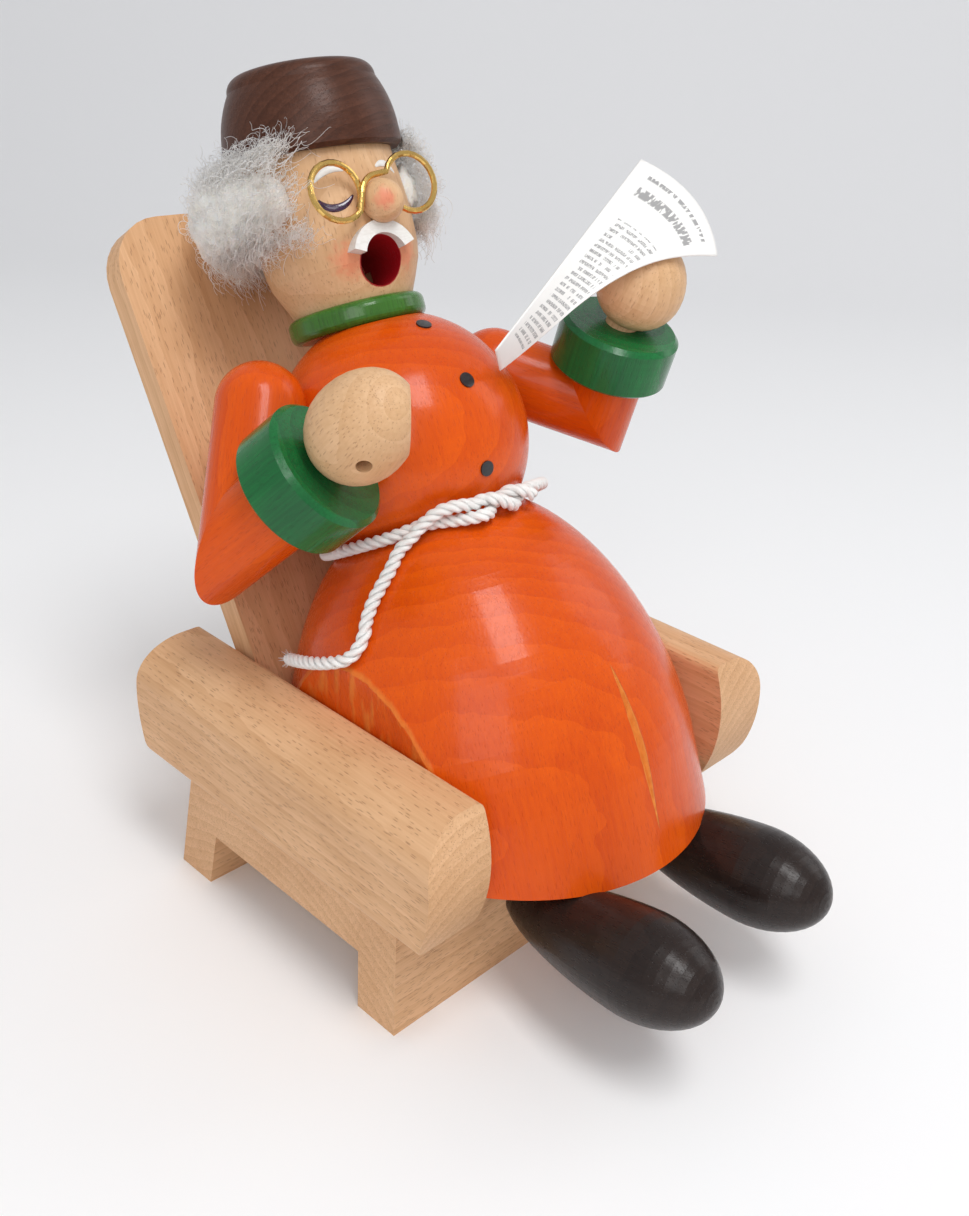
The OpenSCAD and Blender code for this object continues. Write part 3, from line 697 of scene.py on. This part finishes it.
def dress(node: str, material: Material) -> None:
    """Give a carried-over node its finish."""
    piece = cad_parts[node]
    if not piece.material_slots:
        piece.data.materials.append(material)
    for slot in piece.material_slots:
        slot.material = material
    log.info("dressed %s", node)


# The stage


@dataclass
class Studio:
    """Camera, lamps, floor and backdrop."""

    photo: tuple[int, int] = (969, 1216)
    focal_px: float = 1219.84
    eye: Triple = (-160.34, -128.16, 176.26)
    forward: Triple = (0.6534, 0.6065, -0.4531)
    right: Triple = (0.6985, -0.7137, 0.0519)
    floor_near: float = 700
    floor_far: float = 620
    sweep_r: float = 420
    wall_h: float = 900
    half_width: float = 1500
    # The far paper colour is a little darker than the near one: painted shade for the light falling off
    # towards the back.
    paper_near: Colour = (0.94, 0.94, 0.945)
    paper_far_shaded: Colour = (0.91, 0.91, 0.92)
    aim: Triple = (0, 0.02, 0.07)

    def camera(self) -> None:
        """Set the photograph's camera: columns right, up, back."""
        data = bpy.data.cameras.new("camera")
        data.sensor_width = 36
        data.lens = self.focal_px * 36 / max(self.photo)
        data.clip_start = 0.005
        right, ahead = Vector(self.right).normalized(), Vector(self.forward).normalized()
        up = right.cross(ahead).normalized()
        turn = Matrix((right, up, -ahead)).transposed().to_4x4()
        cam = bpy.data.objects.new("camera", data)
        cam.matrix_world = Matrix.Translation(Vector(self.eye) * MM) @ turn
        bpy.context.scene.collection.objects.link(cam)
        bpy.context.scene.camera = cam

    def sweep(self) -> None:
        """A pale sheet: flat floor, a quarter round and an upright wall behind, darker towards the back as
        painted shade.
        """
        a = np.linspace(0, np.pi / 2, 24)[1:]
        flat = np.linspace(-self.floor_near, self.floor_far, 40)
        wall = np.linspace(self.wall_h / 8, self.wall_h, 8)
        depth = np.concatenate([flat, self.floor_far + self.sweep_r * np.sin(a),
                                np.full(8, self.floor_far + self.sweep_r)])
        height = np.concatenate([np.zeros(40), self.sweep_r * (1 - np.cos(a)), self.sweep_r + wall])
        across = np.linspace(-self.half_width, self.half_width, 30)
        ahead = unit(np.array([self.forward[0], self.forward[1], 0.0]))
        side, up = np.array([ahead[1], -ahead[0], 0.0]), np.array([0, 0, 1.0])
        grid = depth[:, None, None] * ahead + across[None, :, None] * side + height[:, None, None] * up
        sheet = mesh_piece("backdrop", grid, [quads(len(depth), 30, False)[:, ::-1]], closed=False)
        mat, g, shader = start("backdrop_paper")
        # Painted shade: the paper's colour goes from the near colour to the darker far colour along the view,
        # in place of the light's falloff.
        tone = g.span(g.along(g.place(), tuple(ahead)), 0.15, 0.9)
        finish(g, shader, g.mix(tone, self.paper_near, self.paper_far_shaded), 0.8, g.noise(g.place(), 600), 0.00002)
        shader.inputs["Specular IOR Level"].default_value = 0.15
        sheet.data.materials.append(mat)

    def lamp(self, name: str, towards: Triple, distance: float, size: tuple[float, float], power: float,
             colour: Colour = (1, 1, 1)) -> None:
        """One soft lamp that faces the object.

        Args:
            name: its name.
            towards: the direction from the object to the lamp.
            distance: its distance in metres.
            size: its width and height in metres.
            power: its power in watts.
            colour: its colour.
        """
        data = bpy.data.lights.new(name, "AREA")
        data.shape, data.size, data.size_y = "RECTANGLE", *size
        data.energy, data.color = power, colour
        lamp = bpy.data.objects.new(name, data)
        way = Vector(towards).normalized()
        turn = way.to_track_quat("Z", "Y").to_matrix().to_4x4()
        lamp.matrix_world = Matrix.Translation(Vector(self.aim) + way * distance) @ turn
        bpy.context.scene.collection.objects.link(lamp)

    def light(self) -> None:
        """An overhead key, a fill by the camera, a side lamp and an even pale surround."""
        self.lamp("key_lamp", (-0.14, -0.42, 0.9), 0.85, (0.26, 0.42), 3.5)
        self.lamp("fill_lamp", (-0.62, -0.55, 0.5), 1.0, (0.5, 0.5), 1.9)
        self.lamp("side_lamp", (0.8, -0.3, 0.5), 1.1, (0.5, 0.6), 1.2)
        world = bpy.data.worlds.new("surround")
        world.use_nodes = True
        bpy.context.scene.world = world
        world.node_tree.nodes["Background"].inputs[0].default_value = (0.97, 0.98, 1.0, 1.0)
        world.node_tree.nodes["Background"].inputs[1].default_value = 0.52
        bpy.context.scene.view_settings.view_transform = "Standard"


# The cord


@dataclass
class BeltCord:
    """Three strands of white yarn laid into a cord, tied round the waist."""

    radius: float = 1.35
    lay_length: float = 6.2
    strand_r: float = 0.68
    strand_off: float = 0.62
    end_fibres: int = 46
    waist: Triple = (0, 41.8, 77.9)
    route: tuple[Triple, ...] = (
        (7, 16, 89.3), (4.5, 16.8, 90.5), (2.5, 18.2, 90.5), (0, 18.9, 89.3), (-2.5, 18.2, 88.1),
        (-4.5, 16.8, 88.1), (-7, 16.5, 88.3), (-9.8, 19.6, 87.2), (-14, 23.8, 86), (-19, 28.5, 83),
        (-21.5, 35, 79.5), (-21.5, 41.5, 76), (-18.5, 48, 72.5), (-13.5, 52.5, 70), (-7, 56, 68),
        (0, 57, 67.5), (7, 56, 68), (13.5, 52.5, 70), (18.5, 48, 72.5), (21.5, 41.5, 76),
        (22.5, 35, 79.5), (21.5, 28.5, 83.5), (17.5, 23, 87), (12, 20, 88.8), (7, 18.9, 89.3),
        (4.5, 18.2, 88.1), (2.5, 16.8, 88.1), (0, 16, 89.3), (-2.5, 16.8, 90.5), (-4.5, 18.2, 90.5),
        (-7, 18.6, 90), (-10.5, 19.3, 90.3), (-13.5, 20.8, 89.5), (-16, 22.3, 87.3),
        (-18, 23.3, 84.8), (-20.5, 24, 82.3), (-23, 23.4, 79.8), (-25.5, 23, 77.4),
        (-28, 22.6, 74.8), (-30, 22, 72), (-31.5, 21, 69.8), (-33.2, 20.8, 67.5), (-34.8, 22, 65.4),
        (-35.8, 25.5, 63.5), (-35.9, 30.5, 61.3), (-35, 36, 59), (-33.5, 41, 56.8))

    def section(self, run: np.ndarray) -> tuple[np.ndarray, np.ndarray]:
        """The outline of three round strands that turn about each other.

        At the angle d from the nearest strand the outline's radius is
        off cos d + sqrt(r^2 - off^2 sin^2 d), and the strands turn once a lay length.

        Args:
            run: the distance along the cord of each row.

        Returns:
            The section (x, y) and the map (distance, place across a strand).
        """
        a = np.linspace(0, 2 * np.pi, 24, endpoint=False)[None]
        turn = 2 * np.pi * run[:, None] / self.lay_length
        d = (a - turn + np.pi / 3) % (2 * np.pi / 3) - np.pi / 3
        reach = np.sqrt(np.maximum(self.strand_r**2 - (self.strand_off * np.sin(d))**2, 0))
        r = self.strand_off * np.cos(d) + reach
        uv = np.stack([np.broadcast_to(run[:, None], d.shape), d / (2 * np.pi / 3)], -1)
        return np.stack([r * np.cos(a), r * np.sin(a)], -1), uv

    def finish(self) -> Material:
        """White yarn: fine fibres slant across each strand, from the piece's own map."""
        mat, g, shader = start("white_yarn")
        lay = g.add("UVMap", uv_map="Lay").outputs[0]
        slant = g.add("Mapping", {"Vector": lay, "Rotation": (0, 0, 0.6), "Scale": (1, 2.5, 1)}).outputs[0]
        fibre = g.add("TexWave", {"Vector": slant, "Scale": 0.9, "Distortion": 1.2, "Detail": 2,
                                  "Detail Scale": 1.5}).outputs[1]
        soil = g.noise(g.place(), 90, 3)
        colour = g.mix(g.math("MULTIPLY_ADD", fibre, -0.5, 0.5), (0.96, 0.95, 0.93), (0.82, 0.79, 0.74))
        colour = g.mix(g.math("MULTIPLY", g.span(soil, 0.5, 0.8), 0.25), colour, (0.82, 0.77, 0.70))
        finish(g, shader, colour, 0.34, fibre, 0.00006)
        shader.inputs["Sheen Weight"].default_value = 0.35
        return mat

    def build(self) -> None:
        line = spline(np.array(self.route), 0.3)
        run = np.arange(len(line)) * np.linalg.norm(np.diff(line, axis=0), axis=1).mean()
        shape, uv = self.section(run)
        cord = tube("waist_cord", line, line - np.array(self.waist), shape, uv)
        yarn = self.finish()
        join(cord, Body.LOWER, yarn, ["belt_cord"])
        tip, ahead = line[-1], unit(line[-1] - line[-4])
        rng = np.random.default_rng(4)
        t = np.linspace(0, 1, 8)[None, :, None]
        each = (self.end_fibres, 1, 1)
        out = rng.normal(size=(self.end_fibres, 1, 3)) * 0.9
        root = tip + unit(out) * rng.uniform(0.1, 1.1, each) - ahead * 1.2
        fray = root + ahead * t * rng.uniform(1.6, 3.6, each) + out * 0.55 * t**1.7
        tuft = strands("cord_end_fibres", fray, np.full((self.end_fibres, 8), 0.09) * (1.1 - 0.6 * t[..., 0]))
        join(tuft, Body.LOWER, yarn)


# The chair and the lower figure


@dataclass
class Chair:
    """The armchair of planed beech."""

    def build(self) -> None:
        """Dress the base, the armrests, the backrest and what holds them."""
        dress("chair_base", BEECH.material("base", Lie((0, 40, -45), (1, 0, 0))))
        dress("right_armrest", BEECH.material("right_armrest", Lie((-36, 0, 22), (0, 1, 0.02))))
        dress("left_armrest", BEECH.material("left_armrest", Lie((60, 0, 20), (0.02, 1, 0))))
        dress("backrest", BEECH.material("backrest", Lie((18, 130, 0), BACKREST.up)))
        for node, along in (("armrest_dowels", (0, 0, 1)), ("backrest_dowels", BACKREST.up)):
            dress(node, DOWEL.material(node, Lie((3, 2, 0), along)))
        dress("seat_screws", STEEL.material())


@dataclass
class LowerFigure:
    """The hollow gown, its tin plate, and the shoes."""

    def build(self) -> None:
        """Dress the gown and the shoes."""
        cut = Bare(1.5, (0, -0.877, 0.481), 42.36, (0.90, 0.34, 0.06), (0.60, 0.13, 0.015), 34.3)
        dress("gown", ORANGE.material("gown", Lie((9, 21, 30), GOWN.up), bare=cut))
        dress("cone_plate", TIN.material())
        dress("plate_nail", STEEL.material())
        for node, x in (("right_shoe", -18.2), ("left_shoe", 18.2)):
            dress(node, SHOE_BROWN.material(node, Lie((x + 2, SHOES.y, SHOES.z), SHOES.ahead)))
        dress("shoe_dowels", DOWEL.material("shoe_dowels", Lie((2, 1, 0), (0, 0, 1))))


# The upper figure


@dataclass
class Head:
    """The turned head with its painted and glued features, in the collar's leaning frame."""

    turn: float = 8.5
    profile_z: tuple[float, ...] = (-3.4, 1.4, 4.4, 8, 10.5, 13, 16.5, 20, 24, 27, 39)
    profile_r: tuple[float, ...] = (12.15, 12.15, 13.55, 15.1, 15.6, 15.8, 15.9, 15.8, 15.5, 15.2, 14.8)

    def at(self, x: float, y: float, z: float) -> Triple:
        """A point of the collar's frame in the part's frame."""
        return tuple(COLLAR.place(np.array([x, y, z])))

    def spot(self, angle: float, up: float) -> Triple:
        """A place on the face: angle from the front towards the left, and height."""
        a = math.radians(angle)
        r = float(np.interp(up, self.profile_z, self.profile_r))
        return self.at(r * math.sin(a), -r * math.cos(a), up)

    def stroke(self, name: str, angles: Sequence[float], ups: Sequence[float], width: float,
               lift: float) -> Piece:
        """A raised stroke of paint on the face.

        Its middle goes through (angle, height); across it the surface is at
        w cos a along the face and h sin a above it, and w falls to a point at both ends.

        Args:
            name: the piece's name.
            angles: angles from the front towards the left, in degrees.
            ups: heights.
            width: half its width in the middle.
            lift: its height above the wood.

        Returns:
            The piece.
        """
        t, knots = np.linspace(0, 1, 40), np.linspace(0, 1, len(angles))
        fit = [np.polyval(np.polyfit(knots, v, len(angles) - 1), t) for v in (angles, ups)]
        r0 = np.interp(fit[1], self.profile_z, self.profile_r)
        flat = np.stack([np.radians(fit[0]) * r0, fit[1]], -1)
        along = unit(np.gradient(flat, axis=0))
        across = np.stack([-along[:, 1], along[:, 0]], -1)
        a = np.linspace(0, 2 * np.pi, 16, endpoint=False)[None]
        w = (width * np.sin(np.pi * (0.03 + 0.94 * t)) ** 0.6)[:, None]
        on = flat[:, None] + (w * np.cos(a))[..., None] * across[:, None]
        r = np.interp(on[..., 1], self.profile_z, self.profile_r) + lift * w / width * np.sin(a)
        ang = on[..., 0] / r0[:, None]
        grid = COLLAR.place(np.stack([r * np.sin(ang), -r * np.cos(ang), on[..., 1]], -1))
        return closed_rings(name, grid, grid[[0, -1]].mean(1))

    def build(self) -> None:
        """Dress the head and add eyelids and brows."""
        turn, blush = math.radians(self.turn), (0.78, 0.20, 0.10)
        ahead = tuple(np.array(self.at(-math.sin(turn), -math.cos(turn), 0)) - np.array(self.at(0, 0, 0)))
        patches = [Patch(self.spot(s.value * 24.4 - self.turn, 8.5), 1.0, 4.2, blush, 0.6) for s in Side]
        patches.append(Patch(self.at(0, 0, 7.5), 4.6, 0.25, (0.36, 0.006, 0.012), 1.0, ahead))
        dress("head", BARE_TURNED.material("head", Lie(self.at(5, 4, 0), COLLAR.up), patches))
        tip = Patch((-3.6, 48.3, 140.7), 0.6, 2.4, (0.76, 0.17, 0.10), 0.65)
        dress("nose", BARE_TURNED.material("nose", Lie(self.at(1, -16, 17), (0.2, 0.5, 0.9)), [tip]))
        dress("moustache", WHITE.material())
        dress("spectacles", BRASS.material())
        for side in Side:
            s, word = side.value, side.name.lower()
            at = [s * a - self.turn for a in (35.5, 29.5, 20.5, 11.5)]
            lid = self.stroke(f"{word}_eyelid", at, [20.3, 18.5, 18.3, 19.9], 0.75, 0.35)
            join(lid, Body.UPPER, VIOLET.material())
            at = [s * a - self.turn for a in (35.5, 24.5, 13.5)]
            brow = self.stroke(f"{word}_brow", at, [23.6, 25.2, 24.6], 0.7, 0.25)
            join(brow, Body.UPPER, WHITE.material())


@dataclass
class Fleece:
    """Curly wool glued round the sides and back of the head."""

    low: float = 13.0
    top: float = 31.0
    gap: float = 58.0
    thick: float = 13.4
    hat_room: float = 18.0
    board_room: float = 0.4
    seed: int = 11

    def kept_clear(self, points: np.ndarray) -> np.ndarray:
        """Push points off the backrest's front plane and out of the hat.

        A point behind the plane n.p = d moves to it; one inside the hat's cylinder
        moves out to its radius, both with a small gap.

        Args:
            points: points in the part's frame.

        Returns:
            The moved points.
        """
        plane, origin = np.array(BACKREST.ahead), np.array([0, BACKREST.y, BACKREST.z])
        behind = np.minimum((points - origin) @ plane - self.board_room, 0)
        x, y, z = np.moveaxis(HAT.within(points - behind[..., None] * plane), -1, 0)
        r = np.hypot(x, y)
        grow = 1 + np.where(z > -0.2, np.maximum(self.hat_room - r, 0), 0) / np.maximum(r, 1e-6)
        return HAT.place(np.stack([x * grow, y * grow, z], -1))

    def depth(self, angle: np.ndarray) -> np.ndarray:
        """How thick the wool is at an angle: thinner towards the face on the figure's left."""
        return self.thick * (1 - 0.42 * np.clip((2.4 - angle) / 1.2, 0, 1))

    def around(self, angle: np.ndarray, r: np.ndarray, up: np.ndarray) -> np.ndarray:
        """Points at an angle from the front, a radius and a height in the head's frame."""
        angle, r, up = np.broadcast_arrays(angle, r, up)
        return COLLAR.place(np.stack([r * np.sin(angle), -r * np.cos(angle), up], -1))

    def core(self) -> Piece:
        """The dense wool: a bent sausage whose skin is pushed in and out by noise.

        Round the section at the angle b it is at r = r0 + T (1 + cos b) / 2 and
        z = mid + H sin b, both swollen by waves, and it closes at both ends.

        Returns:
            The piece.
        """
        rows, cols = 150, 56
        t = np.linspace(0, 1, rows)[:, None]
        b = np.linspace(0, 2 * np.pi, cols, endpoint=False)[None]
        full = np.sin(np.pi * np.clip(t, 0.004, 0.996)) ** 0.22
        angle = np.radians(self.gap + 6 + t * (360 - 2 * self.gap - 12)) + 0 * b
        mid, half = (self.low + self.top) / 2, (self.top - self.low) / 2
        rough = self.around(angle, 22 + 6 * np.cos(b), mid + half * np.sin(b))
        swell = 0.82 + 0.10 * waves(rough, 9.0, 3) + 0.06 * waves(rough, 3.2, 5) + 0.03 * waves(rough, 1.3, 6)
        r = 15.2 + (self.depth(angle) + 0.4) * (1 + np.cos(b) * swell) / 2 * full
        up = mid + 0.5 + half * np.sin(b) * swell * full
        grid = self.kept_clear(self.around(angle, r, up))
        return closed_rings("fleece_core", grid, grid[[0, -1]].mean(1))

    def curls(self, name: str, count: int, reach: float, seed: int) -> Piece:
        """Loose curls: each leaves the skin, drifts and winds round its own line.

        A curl is root + outward and drift lines + R (cos wt e1 + sin wt e2), where R
        and the turns are random.

        Args:
            name: the piece's name.
            count: how many curls.
            reach: how far out they go beyond the wool.
            seed: the seed.

        Returns:
            The piece.
        """
        rng = np.random.default_rng(seed)
        n = 22
        t = np.linspace(0, 1, n)[None]
        angle0 = np.radians(rng.uniform(self.gap - 6, 366 - self.gap, (count, 1)))
        b = rng.uniform(-0.62 * np.pi, 0.62 * np.pi, (count, 1))
        mid, half = (self.low + self.top) / 2, (self.top - self.low) / 2
        r0 = 15.6 + self.depth(angle0) * 0.42 * (1 + np.cos(b)) * rng.uniform(0.55, 1.0, (count, 1))
        up0 = mid + 0.6 + half * np.sin(b) * 0.92
        drift = rng.normal(size=(count, 2)) * np.array([0.13, 2.6])
        out = rng.uniform(0.2, reach, (count, 1)) * np.cos(b / 2)
        turns = rng.uniform(0.8, 2.2, (count, 1))
        size = rng.uniform(0.4, 1.3, (count, 1)) * (0.4 + 0.6 * np.sin(np.pi * np.clip(t, 0.05, 1)))
        phase = rng.uniform(0, 6.28, (count, 1)) + 2 * np.pi * turns * t
        angle = angle0 + drift[:, :1] * t + size * np.cos(phase) / 22
        r = r0 + out * np.sin(np.pi * 0.75 * t) + size * 0.7 * np.sin(phase)
        up = up0 + drift[:, 1:] * t - 0.6 * t**2 + size * 0.8 * np.sin(phase + 1.1)
        lines = self.kept_clear(self.around(angle, np.maximum(r, 15.9), up))
        thin = np.full((count, n), 0.06) * rng.uniform(0.7, 1.25, (count, 1)) * (1.1 - 0.5 * t)
        return strands(name, lines, thin)

    def finish(self, name: str, relief: float) -> Material:
        """Creamy wool: mottled, matt, with scattered light and relief of this depth in metres."""
        mat, g, shader = start(name)
        lump = g.noise(g.place(), 900, 4, 0.7)
        tint = g.mix(g.span(lump, 0.35, 0.7), (0.965, 0.915, 0.85), (0.985, 0.955, 0.91))
        finish(g, shader, tint, 0.9, lump, relief)
        g.fill(shader, {"Subsurface Weight": 1.0, "Subsurface Radius": (1.0, 0.9, 0.8),
                        "Subsurface Scale": 0.0012, "Specular IOR Level": 0.1})
        return mat

    def build(self) -> None:
        """Make the wool: a core, four layers of fine curls and loose wisps."""
        join(self.core(), Body.UPPER, self.finish("fleece_core", 0.0004), ["hair"])
        wool = self.finish("fleece_fibre", 0.0)
        layers = ((1480, 0.8), (1480, 1.2), (1480, 1.7), (1480, 2.4), (500, 4.0))
        for k, (count, reach) in enumerate(layers):
            curls = self.curls(f"fleece_curls_{k + 1}", count, reach, self.seed + k)
            join(curls, Body.UPPER, wool)


@dataclass
class Letter:
    """A narrow sheet of paper that curls, with generic printed marks."""

    corners: tuple[Triple, ...] = (
        (-0.3, 21.6, 117.5), (6.7, 26.7, 111.5), (43.5, 26.3, 147.6), (51.6, 11, 130.8))
    bulge: Triple = (5.5, 0.5, 1.2)
    lift: Triple = (0, 0, 6)
    thick: float = 0.3

    def surface(self, u: np.ndarray, v: np.ndarray) -> np.ndarray:
        """The sheet: the corners' ruled surface, bulged by 4u(1-u)v and lifted by u^2 sin(pi v^1.2)."""
        c = np.array(self.corners, float)
        u, v = u[..., None], v[..., None]
        flat = (1 - u) * (1 - v) * c[0] + u * (1 - v) * c[1] + (1 - u) * v * c[2] + u * v * c[3]
        bulge = np.array(self.bulge) * v * 4 * u * (1 - u)
        return flat + bulge + np.array(self.lift) * u**2 * np.sin(np.pi * v**1.2)

    def finish(self) -> Material:
        """White paper with rows of small grey marks that spell nothing.

        A row is inked where its part of v is near its middle; along it, white noise
        on short cells leaves gaps, and finer noise breaks the strokes.

        Returns:
            The material.
        """
        mat, g, shader = start("printed_paper")
        axes = g.add("SeparateXYZ", {0: g.add("UVMap", uv_map="Lay").outputs[0]}).outputs
        u, v = axes[0], axes[1]
        tooth = g.noise(g.place(), 1500, 3)

        def rows(count: float, cells: float, ink: float, low: float, high: float,
                 margin: float) -> Socket:
            """Rows of marks between two heights, within a margin."""
            row = g.math("MULTIPLY", v, count)
            line = g.span(g.math("ABSOLUTE", g.math("SUBTRACT", g.math("FRACT", row), 0.5)), 0.2, 0.3, 1, 0)
            at = g.add("CombineXYZ", {0: g.math("MULTIPLY", u, cells),
                                      1: g.math("MULTIPLY", g.math("FLOOR", row), 7.31)}).outputs[0]
            word = g.math("GREATER_THAN", g.noise(at, 1.0, 0), 1 - ink)
            thin = g.add("CombineXYZ", {0: g.math("MULTIPLY", u, cells * 7),
                                        1: g.math("MULTIPLY", row, 2.3)}).outputs[0]
            broken = g.span(g.noise(thin, 1.0, 1), 0.4, 0.5)
            inside = g.math("MULTIPLY", g.math("GREATER_THAN", v, low), g.math("LESS_THAN", v, high))
            edge = g.math("MULTIPLY", g.math("GREATER_THAN", u, margin), g.math("LESS_THAN", u, 1 - margin))
            for part in (word, broken, inside, edge):
                line = g.math("MULTIPLY", line, part)
            return line

        ink = g.math("MAXIMUM", rows(34, 15, 0.6, 0.10, 0.72, 0.16), rows(11, 5, 0.75, 0.82, 0.95, 0.12))
        colour = g.mix(g.math("MULTIPLY", ink, 0.7), (0.90, 0.885, 0.86), (0.12, 0.12, 0.13))
        finish(g, shader, colour, 0.62, tooth, 0.00003)
        return mat

    def build(self) -> None:
        """Make the sheet as a closed shell, the second side a paper's thickness off."""
        rows, cols = 60, 32
        v, u = np.meshgrid(np.linspace(0, 1, rows), np.linspace(0, 1, cols), indexing="ij")
        grid = self.surface(u, v)
        normal = unit(np.cross(np.gradient(grid, axis=1), np.gradient(grid, axis=0)))
        c = np.array(self.corners, float)
        away = np.cross(c[3] - c[2], c[2] - c[0])
        normal *= np.sign(np.einsum("ijk,k->ij", normal, away))[..., None]
        both = np.concatenate([grid.reshape(-1, 3), (grid + self.thick * normal).reshape(-1, 3)])
        face, n = quads(rows, cols, False), rows * cols
        edge = np.concatenate([np.arange(cols), cols * np.arange(1, rows) + cols - 1,
                               n - 2 - np.arange(cols - 1), cols * np.arange(rows - 2, 0, -1)])
        nxt = np.roll(edge, -1)
        rim = np.stack([edge, nxt, nxt + n, edge + n], -1)
        uv = np.concatenate([np.stack([u, v], -1).reshape(-1, 2)] * 2)
        sheet = mesh_piece("letter_sheet", both, [face[:, ::-1], face + n, rim], uv)
        join(sheet, Body.UPPER, self.finish(), ["letter"])


@dataclass(frozen=True)
class Arm:
    """An arm: its shoulder and the directions of its upper arm, forearm and hand."""

    shoulder: Triple
    upper: Triple
    fore: Triple
    hand: Triple


ARMS = {
    Side.RIGHT: Arm((-30.1, 52.5, 104.5), (-0.435, -0.383, -0.78),
                    (0.315, -0.655, 0.687), (0.07, -0.67, 0.74)),
    Side.LEFT: Arm((30.1, 50.1, 102.5), (0.55, -0.81, -0.24),
                   (-0.025, -0.278, 0.96), (0.1, -0.35, 0.93))}


@dataclass
class UpperFigure:
    """Torso, arms, cuffs, hands, collar, hat and buttons."""

    upper_arm_l: float = 23.5

    def build(self) -> None:
        """Dress the nodes of the upper body. A grain's heart lies a little off each piece's own axis."""
        dress("torso", ORANGE.material("torso", Lie((7, 50, 93), TORSO.up)))
        for side, arm in ARMS.items():
            shoulder = np.array(arm.shoulder)
            elbow = shoulder + self.upper_arm_l * unit(np.array(arm.upper))
            for part, wood, heart, along in (
                    ("upper_arm", ORANGE, shoulder + [4, 3, 0], arm.upper),
                    ("forearm", ORANGE, elbow + [4, 3, 0], arm.fore),
                    ("cuff", GREEN, elbow + [5, 4, 0], arm.fore),
                    ("hand", BARE_TURNED, elbow + [6, -3, 2], arm.hand)):
                node = f"{side.name.lower()}_{part}"
                dress(node, wood.material(node, Lie(tuple(heart), along)))
        dress("shoulder_dowels", DOWEL.material("shoulder_dowels", Lie((0, 48, 100), (1, 0, 0))))
        dress("buttons", BLACK.material())
        dress("collar", COLLAR_GREEN.material("collar", Lie((4, 63, 116), COLLAR.up)))
        dress("hat", BROWN.material("hat", Lie((30, 60, 144), (1.0, 0.25, 0.1))))


def main() -> None:
    """Build the stage, the cord and every sub-assembly in order."""
    logging.basicConfig(level=logging.INFO, format="%(name)s %(message)s")
    studio = Studio()
    studio.camera()
    BeltCord().build()
    studio.sweep()
    studio.light()
    Chair().build()
    LowerFigure().build()
    UpperFigure().build()
    Head().build()
    Fleece().build()
    Letter().build()


if __name__ == "__main__":
    main()
